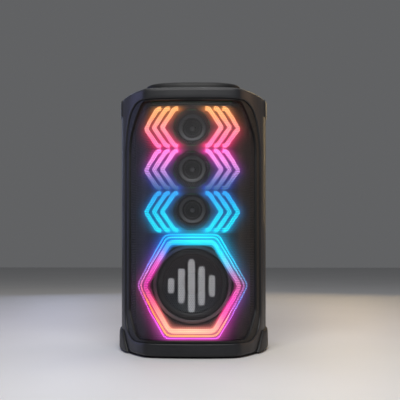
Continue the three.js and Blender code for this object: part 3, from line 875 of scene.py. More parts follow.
for place, zc in CELL_Z.items():
    V, F, count = [], [], 0
    bar_lines[place] = []
    for side in (-1, 1):
        for tip in TIPS:
            mid = tip - BAR_W / 2
            path = [
                (mid - SLANT - 7.5, RISE - 1.4), (mid - SLANT - 2.2, RISE - 1.9), (mid - SLANT + 1.6, RISE - 5.0), (mid - 1.0, 1.6), (mid - 1.0, -1.6),
                (mid - SLANT + 1.6, 5.0 - RISE), (mid - SLANT - 2.2, 1.9 - RISE), (mid - SLANT - 7.5, 1.4 - RISE),
            ]
            path = [(side * x, zc + z) for x, z in path]
            v, f = light_bar(path, 8.0, False)
            F += [tuple(i + count for i in q) for q in f]
            V.append(v)
            count += len(v)
            bar_lines[place].append(refine(path, False, 5.0))
    V = np.concatenate(V)
    bars = make(f"array_bars_{place}", V, F, "housing", BAR, f"array_light_{place}")
    outward(bars)
    paint(bars, mixc(BAR_COLOURS[place], (V[:, 2] - zc) / RISE) * (1 + 0.45 * np.clip((np.abs(V[:, 0]) - 78) / 20, 0, 1))[:, None])

HEX_Z = 138.5


def hex_path(apothem, radius, n=5):
    reach = 98.1 + (apothem - 103.3)
    tip = reach / 0.8605
    flat = (reach - apothem * 0.5096) / 0.8605
    pts = [np.array(p, float) for p in [(tip, 0), (flat, apothem), (-flat, apothem), (-tip, 0), (-flat, -apothem), (flat, -apothem)]]
    out = []
    for i, p in enumerate(pts):
        a = pts[i - 1] - p
        b = pts[(i + 1) % 6] - p
        a, b = a / np.linalg.norm(a), b / np.linalg.norm(b)
        half = math.acos(float(np.dot(a, b))) / 2
        back = radius / math.tan(half)
        s, e = p + a * back, p + b * back
        for k in range(n + 1):
            t = k / n
            q = (1 - t) ** 2 * s + 2 * t * (1 - t) * p + t**2 * e
            out.append((q[0], q[1] + HEX_Z))
    return out


def by_angle(stops, x, z):
    """Colours round the ring: angle in degrees, 0 to the right, anticlockwise."""
    a = np.degrees(np.arctan2((z - HEX_Z) * 1.05, x)) % 360
    full = stops + [(360, stops[0][1])]
    return mixc(full, a)


INNER_LINE = [
    (0, (0.58, 0.11, 0.34)), (18, (0.38, 0.22, 0.48)), (34, (0.16, 0.52, 0.80)), (50, (0.02, 0.66, 0.88)), (90, (0.0, 0.68, 0.90)), (112, (0.0, 0.50, 0.92)),
    (124, (0.10, 0.30, 0.85)), (133, (0.46, 0.24, 0.74)), (144, (0.70, 0.11, 0.52)), (160, (0.70, 0.06, 0.42)), (180, (0.62, 0.03, 0.33)), (203, (0.90, 0.13, 0.26)),
    (220, (0.95, 0.28, 0.24)), (240, (0.92, 0.42, 0.29)), (270, (0.92, 0.46, 0.32)), (298, (0.92, 0.38, 0.30)), (316, (0.92, 0.10, 0.36)), (340, (0.85, 0.06, 0.46)),
]
MIDDLE_LINE = [
    (0, (0.34, 0.10, 0.32)), (25, (0.10, 0.55, 0.80)), (60, (0.0, 0.72, 1.0)), (90, (0.02, 0.75, 1.0)), (120, (0.02, 0.42, 1.0)), (140, (0.30, 0.32, 0.90)),
    (165, (0.62, 0.20, 0.60)), (185, (0.80, 0.12, 0.30)), (200, (0.95, 0.28, 0.05)), (225, (1.0, 0.36, 0.10)), (270, (1.0, 0.45, 0.10)), (310, (0.95, 0.35, 0.25)),
    (330, (0.60, 0.12, 0.60)),
]
OUTER_LINE = [
    (0, (0.10, 0.15, 0.36)), (30, (0.03, 0.50, 0.78)), (60, (0.0, 0.68, 1.0)), (90, (0.0, 0.72, 1.0)), (120, (0.01, 0.35, 1.0)), (145, (0.12, 0.22, 0.85)),
    (168, (0.40, 0.14, 0.50)), (190, (0.55, 0.08, 0.45)), (210, (0.75, 0.06, 0.65)), (235, (0.80, 0.08, 0.80)), (270, (0.72, 0.06, 0.70)), (305, (0.80, 0.10, 0.70)),
    (325, (0.45, 0.10, 0.62)), (345, (0.16, 0.22, 0.70)),
]
V, F, C, count = [], [], [], 0
for a, w, stops in ((87.2, 8.2, INNER_LINE), (96.4, 2.8, MIDDLE_LINE), (101.8, 2.6, OUTER_LINE)):
    v, f = light_bar(hex_path(a, 16), w, True)
    F += [tuple(i + count for i in q) for q in f]
    V.append(v)
    count += len(v)
    C.append(by_angle(stops, v[:, 0], v[:, 2]) * (1 + 0.6 * np.clip((np.abs(v[:, 0]) - 78) / 34, 0, 1))[:, None])
ring_bars = make("woofer_ring_bars", np.concatenate(V), F, "housing", BAR, "woofer_light_ring")
outward(ring_bars)
paint(ring_bars, np.concatenate(C))


def distance_to(line, x, z, closed=False):
    best = np.full(x.shape, 1e9)
    n = len(line)
    for i in range(n if closed else n - 1):
        ax, az = line[i]
        bx, bz = line[(i + 1) % n]
        dx, dz = bx - ax, bz - az
        t = np.clip(((x - ax) * dx + (z - az) * dz) / max(dx * dx + dz * dz, 1e-9), 0, 1)
        best = np.minimum(best, np.hypot(x - ax - t * dx, z - az - t * dz))
    return best


def halo_at(x, z):
    """Painted spill light: the colour the bars and the ring would throw on the plate round each bar, given to the plate
    as emission.
    """
    total = np.zeros((len(x), 3))
    for place, zc in CELL_Z.items():
        near = np.full(x.shape, 1e9)
        for line in bar_lines[place]:
            near = np.minimum(near, distance_to(line, x, z))
        inside = 1 / (1 + np.exp((np.abs(z - zc) - 41.0) / 1.2))
        glow = np.exp(-np.maximum(near - 2, 0) / 6.0) * 1.9 * inside
        total += glow[:, None] * mixc(HALO_COLOURS[place], (z - zc) / RISE)
    line = hex_path(87.2, 16)
    near = distance_to(line, x, z, True)
    out = distance_to(hex_path(101.8, 16), x, z, True)
    total += (np.exp(-np.maximum(near - 3, 0) / 8.0) * 1.5)[:, None] * by_angle(INNER_LINE, x, z) ** 1.6
    total += (np.exp(-out / 9.0) * 0.8)[:, None] * by_angle(OUTER_LINE, x, z) ** 1.6
    return total


def hex_inside(apothem, x, z):
    path = np.array(hex_path(apothem, 14))
    return inside_outline(path, x, z)


# The dark plate that carries the guides: a fine curved grid with the driver windows left out.
grid_x = np.arange(-118, 118.1, 2.0)
grid_z = np.arange(33, 495.1, 2.0)
GX, GZ = np.meshgrid(grid_x, grid_z)
cell_x = (GX[:-1, :-1] + 1.0)
cell_z = (GZ[:-1, :-1] + 1.0)
hole = hex_inside(80, cell_x, cell_z)
for zc in CELL_Z.values():
    hole |= np.hypot(cell_x, cell_z - zc) < 36.5
solid_cells = ~hole
ids = np.arange(GX.size).reshape(GX.shape)
a, b, c, d = ids[:-1, :-1], ids[:-1, 1:], ids[1:, 1:], ids[1:, :-1]
front_faces = np.stack([a, b, c, d], -1)[solid_cells]
off = GX.size
back_faces = front_faces[:, ::-1] + off
e = np.stack([front_faces, np.roll(front_faces, -1, 1)], -1).reshape(-1, 2)
_, inv, cnt = np.unique(np.sort(e, 1), axis=0, return_inverse=True, return_counts=True)
rim = e[cnt[inv.ravel()] == 1]
rim_faces = np.stack([rim[:, 0], rim[:, 0] + off, rim[:, 1] + off, rim[:, 1]], 1)[:, ::-1]
allf = np.concatenate([front_faces, back_faces, rim_faces])
px, pz = GX.ravel(), GZ.ravel()
yf = front_y(px, 23.6)
yb = front_y(px, 27.2)
verts = np.concatenate([np.stack([px, yf, pz], 1), np.stack([px, yb, pz], 1)])
used = np.unique(allf)
remap = -np.ones(len(verts), int)
remap[used] = np.arange(len(used))
plate = make("light_plate", verts[used], remap[allf], "housing", HALO, "light_carrier")
outward(plate)
# painted spill light: the plate glows round the bars and the ring in place of their light falling on it
glow = halo_at(px, pz)
glow = np.concatenate([glow, glow * 0])[used]
paint(plate, glow)

# Horn wells behind the windows: dark walls that funnel back to each driver.


def well(name, outline_front, ring_r, z0, inset_front, depth_back, node=None, material=INNER, glow_fn=None):
    n = len(outline_front)
    front = np.array(outline_front, float)
    ang = np.arctan2(front[:, 1] - z0, front[:, 0])
    back = np.stack([ring_r * np.cos(ang), z0 + ring_r * np.sin(ang)], 1)
    rings = []
    levels = 9
    for k in range(levels + 1):
        t = k / levels
        p = front * (1 - t) + back * t
        y = front_y(front[:, 0], np.full(n, inset_front)) * (1 - t) + yat(depth_back) * t
        rings.append(np.stack([p[:, 0], y, p[:, 1]], 1))
    shell_out = [r.copy() for r in rings[::-1]]
    for r in shell_out:
        centre = np.array([0, 0, z0])
        away = r - centre
        away[:, 1] = 0
        r += away / np.linalg.norm(away, axis=1)[:, None] * 1.2
        r[:, 1] += 0.6
    loops = np.stack(rings + shell_out, 1)
    k = loops.shape[1]
    ob = make(name, loops.reshape(-1, 3), torus_faces(n, k), "housing", HALO, node)
    outward(ob)
    # painted spill light: the bars' glow at each well's mouth, fading as the wall runs deeper
    fade = np.concatenate([np.linspace(1, 0, levels + 1) ** 2.2, np.zeros(levels + 1)])
    spill = halo_at(front[:, 0], front[:, 1])
    paint(ob, (spill[:, None, :] * fade[None, :, None] * 0.75).reshape(-1, 3))
    return ob


def circle_path(r, z0, n=48):
    return [(r * math.cos(2 * math.pi * i / n), z0 + r * math.sin(2 * math.pi * i / n)) for i in range(n)]


MID_Z = {"top": 455.0, "middle": 372.5, "bottom": 290.5}
WOOFER_Z = 141.0
dense_hex = refine(hex_path(80.2, 14), True, 6.0)
well("woofer_well", dense_hex, 80.6, WOOFER_Z, 27.4, 66.2, slot if False else None)
for place, zc in CELL_Z.items():
    well(f"mid_well_{place}", circle_path(36.0, zc), 27.4, MID_Z[place], 27.4, 58.5)

# ------------------------------------------------------------------ drivers


def driver_centre(z):
    return (0, FRONT_Y, z)


def wave(p0, p1, n, amp):
    """Points from p0 to p1 with fine ribs."""
    out = []
    for i in range(n + 1):
        t = i / n
        x = p0[0] + (p1[0] - p0[0]) * t
        y = p0[1] + (p1[1] - p0[1]) * t
        out.append((x, y + amp * math.sin(t * math.pi * n / 2)))
    return out


woofer_trim = turned("woofer_trim", [(73, 70.2), (73, 67.6)] + arc_points((74.4, 67.9), 1.4, 180, 270, 4) + [(77.8, 66.7)] + arc_points((78.2, 68.0), 1.3, 270, 360, 4) + [(79.5, 70.2)],
       driver_centre(WOOFER_Z), "housing", RING_LIT, "woofer_trim_ring", 128)
# painted spill light: a faint emission on the trim ring in place of the light bars' light falling on it
_co = np.array([v.co for v in woofer_trim.data.vertices]) * 1000
paint(woofer_trim, halo_at(_co[:, 0], _co[:, 2]) * 0.16)


def surround(name, r0, r1, inner_d, outer_d, height, wall, z, segments, node, ribs=20):
    """A half roll: its inner edge sits deeper, on the cone, and its outer edge on the basket."""
    mid, half = (r0 + r1) / 2, (r1 - r0) / 2
    front, back = [], []
    for k in range(ribs + 1):
        t = math.pi * k / ribs
        r = mid - half * math.cos(t)
        base = inner_d + (outer_d - inner_d) * k / ribs
        front.append((r, base - height * math.sin(t)))
        back.append((r, base - (height - wall) * math.sin(t) + wall * 0.6))
    ob = turned(name, front + back[::-1], driver_centre(z), None, SURROUND, node, segments, angle=70)
    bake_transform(ob)
    return ob


surround("woofer_roll", 58.3, 71.2, 76.8, 72.2, 4.4, 0.9, WOOFER_Z, 128, "woofer_surround")
cone_front = wave((57.9, 77.2), (18, 111.4), 22, 0.22)
turned("woofer_cone_ribbed", cone_front + [(16.9, 112.6), (16.9, 140), (15.6, 140), (15.6, 113.8), (57.9, 78.6)],
       driver_centre(WOOFER_Z), "woofer_moving", CONE, "woofer_cone", 128, angle=60)
dome = [(0, 98)] + [(22 * math.sin(math.radians(a)) / math.sin(math.radians(55)), 98 + 8.6 * (1 - math.cos(math.radians(a))) / (1 - math.cos(math.radians(55)))) for a in range(5, 56, 5)]
turned("woofer_dome", dome + [(20.5, 106.9), (12, 102.4), (0, 100)], driver_centre(WOOFER_Z), "woofer_moving", CONE, "woofer_dust_cap", 96, angle=60)
turned("woofer_frame", [(72.7, 70.5), (80, 70.5), (80, 73.7), (75.5, 73.7), (73.6, 92), (52, 127), (52, 131), (21, 131), (21, 128), (48.5, 127.5), (71.6, 91)],
       driver_centre(WOOFER_Z), "housing", BASKET, "woofer_basket", 96)
turned("woofer_motor", [(0, 132), (13.6, 132), (14, 132.4), (14, 152), (19, 152), (19, 131.3), (45, 131.3), (46, 132.3), (46, 143), (45, 143.6), (45, 144.4), (46, 145), (46, 159), (45, 160), (0, 160)],
       driver_centre(WOOFER_Z), "housing", IRON, "woofer_magnet", 64)

for place, z in MID_Z.items():
    c = driver_centre(z)
    turned(f"mid_ring_{place}", [(20.6, 59)] + arc_points((21.8, 57.7), 1.2, 180, 270, 4) + [(25.4, 56.7)] + arc_points((25.6, 58.1), 1.4, 270, 360, 4)
           + [(27, 60.5), (24, 63), (24, 70), (31, 70), (31, 73.7), (24.4, 73.7), (22.5, 89), (15, 95), (8.4, 95), (8.4, 92.5), (21, 88)],
           c, "housing", RING, f"mid_basket_{place}", 72)
    surround(f"mid_roll_{place}", 15.8, 20, 65.0, 63.1, 2.2, 0.5, z, 72, f"mid_surround_{place}", 12)
    cap = [(0, 66.6)] + [(6.8 * math.sin(math.radians(a)), 66.6 + 3.1 * (1 - math.cos(math.radians(a)))) for a in range(15, 91, 15)]
    dome_piece = turned(f"mid_cone_dome_{place}", cap + wave((7.2, 69.3), (15.3, 64.0), 6, 0.08) + [(15.3, 65.2), (6.9, 72.6), (6.9, 99), (6, 99), (6, 71.5), (0, 69.4)],
           c, f"mid_moving_{place}", CONE, f"mid_cone_{place}", 64, angle=60)
    dome_piece.data.materials.append(RING)
    for face in dome_piece.data.polygons:
        if math.hypot(face.center.x, face.center.z - z * MM) < 0.0045 and face.center.y < yat(70) * MM:
            face.material_index = 1
    turned(f"mid_motor_{place}", [(0, 96.5), (4.9, 96.5), (4.9, 105), (8.1, 105), (8.1, 95.3), (16.4, 95.3), (17, 96), (17, 109.4), (16.4, 110), (0, 110)],
           c, "housing", IRON, f"mid_magnet_{place}", 48)

# ------------------------------------------------------------------ cabinet, cap, base


def wrap_band(name, s0, s1, section, body, material, node=None, step=3.0):
    """A section of (inset, z) carried round the back from s0 to s1, with closed ends."""
    n = max(2, int((s1 - s0) / step))
    ss = np.linspace(s0, s1, n + 1)
    k = len(section)
    verts = []
    for s in ss:
        ins = np.array([q[0] for q in section])
        x, y = plan_point(np.full(k, s), ins)
        verts += [(float(x[i]), float(y[i]), section[i][1]) for i in range(k)]
    faces = torus_faces(n + 1, k, False)
    faces.append(tuple(range(k)))
    faces.append(tuple(range(n * k, (n + 1) * k))[::-1])
    ob = make(name, verts, faces, body, material, node)
    outward(ob)
    return sharp(ob, 38)


S2 = TOTAL - S_BACK
cab_section = [(0.4, 8.3), (0, 8.9), (0, 45.4)] + [(0, z) for z in np.arange(80, 480, 20)] + [(0, 489.2), (0.4, 489.7), (5, 489.7), (5, 8.3)]
cabinet = wrap_band("cabinet_shell", S_BACK + 0.3, S2 - 0.3, cab_section, "housing", CABINET, "cabinet")
boolean(cabinet, raw_box(-62, 62, 98, 170, 58, 192))


def raw_cylinder(r, y0, y1, z, n=96):
    v = [(r * math.cos(2 * math.pi * i / n), y, z + r * math.sin(2 * math.pi * i / n)) for y in (y0, y1) for i in range(n)]
    f = [(i, (i + 1) % n, n + (i + 1) % n, n + i) for i in range(n)] + [tuple(range(n)), tuple(range(n, 2 * n))[::-1]]
    return raw("cyl", v, f)


boolean(cabinet, raw_cylinder(35, 98, 170, 330))
cabinet.data.polygons.foreach_set("use_smooth", [True] * len(cabinet.data.polygons))
sharp(cabinet, 38)

cap_section = [(18, 490), (-1.2, 490), (-2, 491.4), (-2, 507), (-2, 521.5), (-1.1, 523.8), (1.0, 525), (15.5, 525), (17.3, 524.2), (18, 522.5), (18, 506)]
cap = wrap_band("top_cap_rim", S_BACK + 0.3, S2 - 0.3, cap_section, "housing", FRAME, None)

skirt_section = [(-0.3, 43.9), (-2.2, 44), (-3.4, 42.8), (-4.4, 37), (-5, 28), (-5, 7), (-4, 4.4), (-2.6, 4), (-0.3, 4)]
skirt = wrap_band("base_skirt_wrap", s_of_depth(60), TOTAL - s_of_depth(60), skirt_section, "housing", SKIRT, "base_skirt")
wedge = raw("wedge", [(x, y, z) for x in (-220, 220) for y, z in ((yat(-30), -20), (yat(60), -20), (yat(60.5), -5), (yat(112), 56), (yat(119), 90), (yat(-30), 90))],
            [(0, 1, 2, 3, 4, 5), (11, 10, 9, 8, 7, 6)] + [(i, i + 6, (i + 1) % 6 + 6, (i + 1) % 6) for i in range(6)])
boolean(skirt, wedge)
bevelled(skirt, 0.8, 2, 40)

turned("bass_port_flare", [(27, yat(172)), (28.5, yat(170.9)), (30, yat(172)), (30, yat(250)), (34.4, yat(262)), (34.6, yat(275.6)), (43, yat(275.6))]
       + [(43, yat(276.4)), (42.4, yat(277.2)), (40.5, yat(277.6))] + [(27 + 12.8 * (1 - math.cos(math.radians(a))), yat(277.6 - 24 * (1 - math.sin(math.radians(a))))) for a in range(84, -1, -12)],
       (0, 0, 330), "housing", PORT, "bass_port", 96, angle=50)

for name in ("foot_front_left", "foot_front_right", "foot_rear_left", "foot_rear_right"):
    lo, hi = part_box(name)
    c = (lo + hi) / 2 * 1000
    turned(name + "_pad", [(0, 0), (8, 0), (8.4, 0.5), (9.2, 0.5), (9.6, 0), (13, 0), (13.8, 0.5), (14, 1.2), (14, 3.7), (0, 3.7)],
           (c[0], c[1], 0), "housing", FOOT, name, 48, axis="z")

# ------------------------------------------------------------------ top deck with the finger pocket


def rounded_rect(x0, x1, y0, y1, r, n=6):
    out = []
    for cx, cy, a0 in ((x1 - r, y0 + r, -90), (x1 - r, y1 - r, 0), (x0 + r, y1 - r, 90), (x0 + r, y0 + r, 180)):
        for k in range(n + 1):
            t = math.radians(a0 + 90 * k / n)
            out.append((cx + r * math.cos(t), cy + r * math.sin(t)))
    return out


def deck():
    centre = np.array([0, yat(126.0)])
    pocket = refine(rounded_rect(-72, 72, yat(86), yat(167), 14), True, 4.0)
    ang = np.arctan2(pocket[:, 1] - centre[1], pocket[:, 0] - centre[0])
    ss = np.arange(0, TOTAL, 2.0)
    ox, oy = plan_point(ss, np.where((ss < S_BACK) | (ss > TOTAL - S_BACK), 14.3, 17.9))
    oa = np.arctan2(oy - centre[1], ox - centre[0])
    order = np.argsort(oa)
    oa, orad = oa[order], np.hypot(ox - centre[0], oy - centre[1])[order]
    rad = np.interp(ang, np.concatenate([[oa[-1] - 2 * math.pi], oa, [oa[0] + 2 * math.pi]]), np.concatenate([[orad[-1]], orad, [orad[0]]]))
    outer = centre + np.stack([np.cos(ang), np.sin(ang)], 1) * rad[:, None]
    inward = centre - pocket
    inward /= np.linalg.norm(inward, axis=1)[:, None]
    rings = [(outer, 503.2), (outer, 509.6), (outer + (pocket - outer) * 0.01, 510)]
    for t in (0.2, 0.4, 0.6, 0.8):
        rings.append((outer + (pocket - outer) * t, 510))
    rings += [(pocket - inward * 1.5, 510), (pocket - inward * 0.5, 509.6), (pocket, 508.4), (pocket, 498), (pocket, 490),
              (pocket + inward * 0.8, 486), (pocket + inward * 3, 483.7), (pocket + inward * 7, 483)]
    for t in (0.3, 0.6, 0.85):
        rings.append((pocket + inward * 7 + (centre - pocket - inward * 7) * t, 483))
    low = [(pocket + (centre - pocket) * 0.85, 480.5), (pocket, 480.5), (pocket - inward * 2.7, 480.5), (pocket - inward * 2.7, 503.2)]
    rings += low
    n, k = len(pocket), len(rings)
    v = np.stack([np.concatenate([r, np.full((n, 1), z)], 1) for r, z in rings], 1)
    faces = torus_faces(n, k)
    v = v.reshape(-1, 3)
    hole_a, hole_b = 17, 18
    keep = [f for i, f in enumerate(faces) if i % k != hole_a]
    keep.append(tuple(i * k + hole_a for i in range(n)))
    keep.append(tuple(i * k + hole_b for i in range(n))[::-1])
    ob = make("top_deck", v, keep, "housing", DECK, "top_cover")
    outward(ob)
    return sharp(ob, 38)


deck_piece = deck()
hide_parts("top_cover")

# ------------------------------------------------------------------ handle

HANDLE_FRONT = [(-99, 132), (-97, 112), (-89, 97), (-75, 85), (-55, 77), (-30, 73), (0, 72), (30, 73), (55, 77), (75, 85), (89, 97), (97, 112), (99, 132)]
HANDLE_BACK = [(-71, 132), (-67.5, 118), (-60, 112), (-52, 109), (-40, 107), (-22, 105), (0, 104.5), (22, 105), (40, 107), (52, 109), (60, 112), (67.5, 118), (71, 132)]


def handle():
    f = soft_path(HANDLE_FRONT, [5] * 12)
    b = soft_path(HANDLE_BACK, [5] * 12)
    top, under, foot = 551.0, 528.0, 510.3
    verts = []
    section = [(0, 0.5)] + [(0.5 - 0.5 * math.cos(math.radians(a)), 0.5 + 0.5 * math.sin(math.radians(a))) for a in ()]
    n = len(f)
    for i in range(n):
        t = i / (n - 1)
        e = abs(f[i][0])
        w = np.linalg.norm(b[i] - f[i])
        leg = np.clip((e - 80) / 16, 0, 1)
        leg = leg * leg * (3 - 2 * leg)
        low = under + (foot - under) * leg
        r1 = 6.5
        ring = []
        for a in range(180, 89, -15):
            ring.append((r1 + r1 * math.cos(math.radians(a)), top - r1 + r1 * math.sin(math.radians(a))))
        for a in range(90, -1, -15):
            ring.append((w - r1 + r1 * math.cos(math.radians(a)), top - r1 + r1 * math.sin(math.radians(a))))
        r2 = 5.5 * (1 - leg) + 0.6 * leg
        for a in range(0, -91, -15):
            ring.append((w - r2 + r2 * math.cos(math.radians(a)), low + r2 + r2 * math.sin(math.radians(a))))
        for a in range(-90, -181, -15):
            ring.append((r2 + r2 * math.cos(math.radians(a)), low + r2 + r2 * math.sin(math.radians(a))))
        for off, z in ring:
            p = f[i] + (b[i] - f[i]) * (off / w)
            verts.append((p[0], yat(p[1]), z))
    k = len(verts) // n
    # rounded ends: the last section shrinks towards its middle while it moves back
    v = np.array(verts).reshape(n, k, 3)
    ends = []
    for end in (v[0], v[-1]):
        mid = end.mean(0)
        grown = []
        for a in (20, 40, 60, 75, 88):
            q = end.copy()
            s = math.cos(math.radians(a))
            q[:, 0] = mid[0] + (end[:, 0] - mid[0]) * (0.15 + 0.85 * s)
            q[:, 1] = end[:, 1] + 18.5 * math.sin(math.radians(a))
            q[:, 2] = np.where(end[:, 2] > 530, end[:, 2] - 4.5 * (1 - s), end[:, 2])
            grown.append(q)
        ends.append(grown)
    rows_ = ends[0][::-1] + [v[i] for i in range(n)] + ends[1]
    v = np.array(rows_)
    n = len(v)
    faces = torus_faces(n, k, False)
    faces.append(tuple(range(k)))
    faces.append(tuple(range((n - 1) * k, n * k))[::-1])
    ob = make("handle_bar", v.reshape(-1, 3), faces, "housing", HANDLE, "handle")
    outward(ob)
    return sharp(ob, 50)


handle_piece = handle()

# ------------------------------------------------------------------ control panel and buttons

BUTTONS = [("power_button", -72, 7.8), ("pairing_button", -50, 7.8), ("light_button", -28, 7.8), ("play_button", 0, 11.0),
           ("bass_button", 28, 7.8), ("volume_down_button", 50, 7.8), ("volume_up_button", 72, 7.8)]
panel_outline = rounded_rect(-86, 86, yat(26), yat(60), 12, 8)
pn = len(panel_outline)
pv, pf = [], []
for inset, z in ((0, 510.3), (0, 512.7), (0.3, 513.2), (0.9, 513.5)):
    cx, cy = 0, yat(43)
    for x, y in panel_outline:
        d = math.hypot(x - cx, y - cy)
        pv.append((x - (x - cx) / d * inset, y - (y - cy) / d * inset, z))
for r_ in range(3):
    for i in range(pn):
        pf.append((r_ * pn + i, r_ * pn + (i + 1) % pn, (r_ + 1) * pn + (i + 1) % pn, (r_ + 1) * pn + i))
pf.append(tuple(range(pn))[::-1])
pf.append(tuple(3 * pn + i for i in range(pn)))
panel = make("control_panel_plate", pv, pf, "housing", GLOSS, "control_panel")
outward(panel)


def raw_cylinder_z(r, z0, z1, x, y, n=64):
    v = [(x + r * math.cos(2 * math.pi * i / n), y + r * math.sin(2 * math.pi * i / n), z) for z in (z0, z1) for i in range(n)]
    f = [(i, (i + 1) % n, n + (i + 1) % n, n + i) for i in range(n)] + [tuple(range(n)), tuple(range(n, 2 * n))[::-1]]
    return raw("cylz", v, f)


for _, x, r in BUTTONS:
    boolean(panel, raw_cylinder_z(r + 0.5, 500, 530, x, yat(42)))
panel.data.polygons.foreach_set("use_smooth", [True] * len(panel.data.polygons))
sharp(panel, 35)

for name, x, r in BUTTONS:
    dish = [(0, 4.1)] + [(r * 0.15 * k, 4.1 + 0.25 * (k / 5) ** 2) for k in range(1, 6)]
    prof = dish + [(r - 0.5, 4.4), (r - 0.15, 4.2), (r, 3.8), (r, 0.2), (r - 0.2, 0), (0, 0)]
    prof = [(q, h + 511.2) for q, h in prof]
    turned(name + "_cap", prof, (x, yat(42), 0), name, BUTTON, name, 64, axis="z", angle=30)


def flat_icon(name, polys, x, body, z=515.62):
    """Thin raised marks on a button, each polygon in (right, back) millimetres."""
    v, f = [], []
    for poly in polys:
        n = len(poly)
        base = len(v)
        for h in (z - 0.25, z + 0.02):
            v += [(x + px, yat(42) + py, h) for px, py in poly]
        f += [(base + i, base + (i + 1) % n, base + n + (i + 1) % n, base + n + i) for i in range(n)]
        f.append(tuple(base + i for i in range(n))[::-1])
        f.append(tuple(base + n + i for i in range(n)))
    ob = make(name, v, f, body, ICON, None, smooth=False)
    outward(ob)
    paint(ob, np.tile([0.75, 0.80, 0.85], (len(v), 1)))
    return ob


def arc_band(r0, r1, a0, a1, n=20):
    quads = []
    for i in range(n):
        t0, t1 = math.radians(a0 + (a1 - a0) * i / n), math.radians(a0 + (a1 - a0) * (i + 1) / n)
        quads.append([(r0 * math.cos(t0), r0 * math.sin(t0)), (r1 * math.cos(t0), r1 * math.sin(t0)), (r1 * math.cos(t1), r1 * math.sin(t1)), (r0 * math.cos(t1), r0 * math.sin(t1))])
    return quads


def bar_icon(x0, x1, y0, y1):
    return [(x0, y0), (x1, y0), (x1, y1), (x0, y1)]


def ring_poly(r0, r1, a0, a1, n=20):
    outer = [(r1 * math.cos(math.radians(a0 + (a1 - a0) * i / n)), r1 * math.sin(math.radians(a0 + (a1 - a0) * i / n))) for i in range(n + 1)]
    inner = [(r0 * math.cos(math.radians(a0 + (a1 - a0) * i / n)), r0 * math.sin(math.radians(a0 + (a1 - a0) * i / n))) for i in range(n, -1, -1)]
    return outer + inner


flat_icon("power_mark", [ring_poly(2.5, 3.2, 130, 410), bar_icon(-0.35, 0.35, 0.8, 3.8)], -72, "power_button", 515.42)
flat_icon("link_mark", [ring_poly(0.9, 1.6, 0, 359), ring_poly(2.5, 3.2, -50, 50), ring_poly(2.5, 3.2, 130, 230)], -50, "pairing_button", 515.42)
flat_icon("light_mark", [ring_poly(1.0, 1.7, 0, 359)] + [[(math.cos(a) * 2.4 - math.sin(a) * 0.3, math.sin(a) * 2.4 + math.cos(a) * 0.3), (math.cos(a) * 3.5 - math.sin(a) * 0.3, math.sin(a) * 3.5 + math.cos(a) * 0.3), (math.cos(a) * 3.5 + math.sin(a) * 0.3, math.sin(a) * 3.5 - math.cos(a) * 0.3), (math.cos(a) * 2.4 + math.sin(a) * 0.3, math.sin(a) * 2.4 - math.cos(a) * 0.3)] for a in [k * math.pi / 4 for k in range(8)]], -28, "light_button", 515.42)
flat_icon("play_mark", [[(-4.4, -3.2), (0.6, 0), (-4.4, 3.2)], bar_icon(1.8, 2.7, -3.1, 3.1), bar_icon(3.7, 4.6, -3.1, 3.1)], 0, "play_button", 515.42)
flat_icon("bass_mark", [bar_icon(-3.1, -2.1, -1, 1), bar_icon(-1.4, -0.4, -2.2, 2.2), bar_icon(0.4, 1.4, -3.3, 3.3), bar_icon(2.1, 3.1, -1.6, 1.6)], 28, "bass_button", 515.42)
flat_icon("minus_mark", [bar_icon(-3.1, 3.1, -0.4, 0.4)], 50, "volume_down_button", 515.42)
flat_icon("plus_mark", [bar_icon(-3.1, 3.1, -0.4, 0.4), bar_icon(-0.4, 0.4, 0.4, 3.1), bar_icon(-0.4, 0.4, -3.1, -0.4)], 72, "volume_up_button", 515.42)

# ------------------------------------------------------------------ back

KZ = 172.0
for name, x in (("mic_volume_knob", -26.0), ("echo_knob", 26.0)):
    n = 120
    prof = [(0, 238), (3, 238), (3, 262.8), (8.6, 262.8), (9, 263.2), (9, 264.5), (8.4, 265.2), (8.2, 271.6), (7.8, 272.6), (7.0, 273.0), (5.5, 272.6), (0, 272.5)]
    ob = turned(name + "_cap", [(r, yat(h)) for r, h in prof], (x, 0, KZ), name, KNOB, name, n, angle=35)
    me = ob.data
    co = np.empty(len(me.vertices) * 3)
    me.vertices.foreach_get("co", co)
    co = co.reshape(-1, 3) * 1000
    rx, rz = co[:, 0] - x, co[:, 2] - KZ
    rad = np.hypot(rx, rz)
    tt = np.arctan2(rz, rx)
    knurl = (co[:, 1] > yat(264.8)) & (rad > 7.5)
    scale = np.where(knurl, 1 - 0.03 * (np.sin(tt * 30) > 0), 1.0)
    co[:, 0] = x + rx * scale
    co[:, 2] = KZ + rz * scale
    me.vertices.foreach_set("co", (co * MM).ravel())
    mark = [(x - 0.5, yat(272.3), KZ + 3.2), (x + 0.5, yat(272.3), KZ + 3.2), (x + 0.5, yat(272.3), KZ + 7.2), (x - 0.5, yat(272.3), KZ + 7.2)]
    mark += [(a_, yat(273.0), c_) for a_, b_, c_ in mark]
    tick = make(name + "_pointer", mark, [(0, 1, 2, 3), (7, 6, 5, 4), (0, 4, 5, 1), (1, 5, 6, 2), (2, 6, 7, 3), (3, 7, 4, 0)], name, ICON, None, smooth=False)
    outward(tick)
    paint(tick, np.tile([0.5, 0.5, 0.52], (8, 1)))

# carried-over pieces keep their shape and get their looks
LOOKS = {
    "base_plate": CABINET, "rear_panel": TRIM, "port_flap": FLAP, "flap_pin": STEEL, "mic_jack": CHROME, "usb_port": STEEL,
    "mains_inlet": TRIM, "control_board": BOARD, "led_board": BOARD, "amplifier_board": BOARD, "baffle": INNER,
    "heat_sink": ALU, "power_supply": ALU, "battery_tray": INNER, "battery_pack": WRAP,
}
for name, look in LOOKS.items():
    me = NODES[name].data
    me.materials.clear()
    me.materials.append(look)

# ------------------------------------------------------------------ stage and light

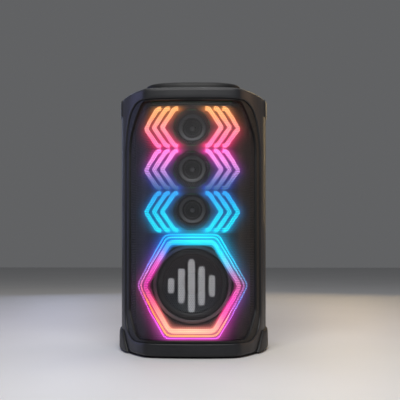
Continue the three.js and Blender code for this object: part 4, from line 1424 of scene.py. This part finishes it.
floor_me = bpy.data.meshes.new("floor")
floor_me.from_pydata([(-6, -6, 0), (6, -6, 0), (6, 6, 0), (-6, 6, 0)], [], [(0, 1, 2, 3)])
floor = bpy.data.objects.new("floor", floor_me)
bpy.context.scene.collection.objects.link(floor)
fm = Mat("floor_look")
fm.link(fm.ramp(fm.noise(3, 3), [(0.3, (0.60, 0.60, 0.605)), (0.7, (0.63, 0.63, 0.635))]), fm.p.inputs["Base Color"])
fm.set(Roughness=0.55)
floor_me.materials.append(fm.m)

world = bpy.data.worlds.new("studio")
bpy.context.scene.world = world
world.use_nodes = True
world.node_tree.nodes["Background"].inputs[0].default_value = (0.60, 0.61, 0.63, 1)
world.node_tree.nodes["Background"].inputs[1].default_value = 0.20


def softbox(name, loc, target, size, power, colour):
    d = bpy.data.lights.new(name, "AREA")
    d.shape = "RECTANGLE"
    d.size, d.size_y = size
    d.energy = power
    d.color = colour
    o = bpy.data.objects.new(name, d)
    bpy.context.scene.collection.objects.link(o)
    o.location = loc
    o.rotation_euler = (Vector(target) - Vector(loc)).to_track_quat("-Z", "Y").to_euler()
    return o


softbox("key", (-0.25, -1.5, 2.1), (0, -0.12, 0.5), (1.1, 0.8), 11, (1, 0.99, 0.97))
softbox("brow", (0.0, -0.95, 1.2), (0, -0.14, 0.53), (1.0, 0.35), 15, (1, 0.99, 0.97))
softbox("top", (0.1, 0.3, 2.3), (0, 0, 0.3), (1.4, 0.8), 12, (1, 0.99, 0.97))
softbox("cool_side", (-1.4, 0.45, 0.6), (0, 0, 0.28), (0.4, 1.3), 4.6, (0.46, 0.48, 1.0))
softbox("warm_side", (1.4, 0.45, 0.6), (0, 0, 0.28), (0.4, 1.3), 3.4, (1.0, 0.62, 0.38))
softbox("cool_rim", (-0.6, 1.6, 0.8), (0, 0, 0.35), (0.3, 1.2), 2.0, (0.55, 0.65, 1.0))
softbox("warm_rim", (0.6, 1.6, 0.9), (0, 0, 0.35), (0.3, 1.2), 3.5, (1.0, 0.72, 0.35))

bpy.context.scene.view_settings.view_transform = "Standard"
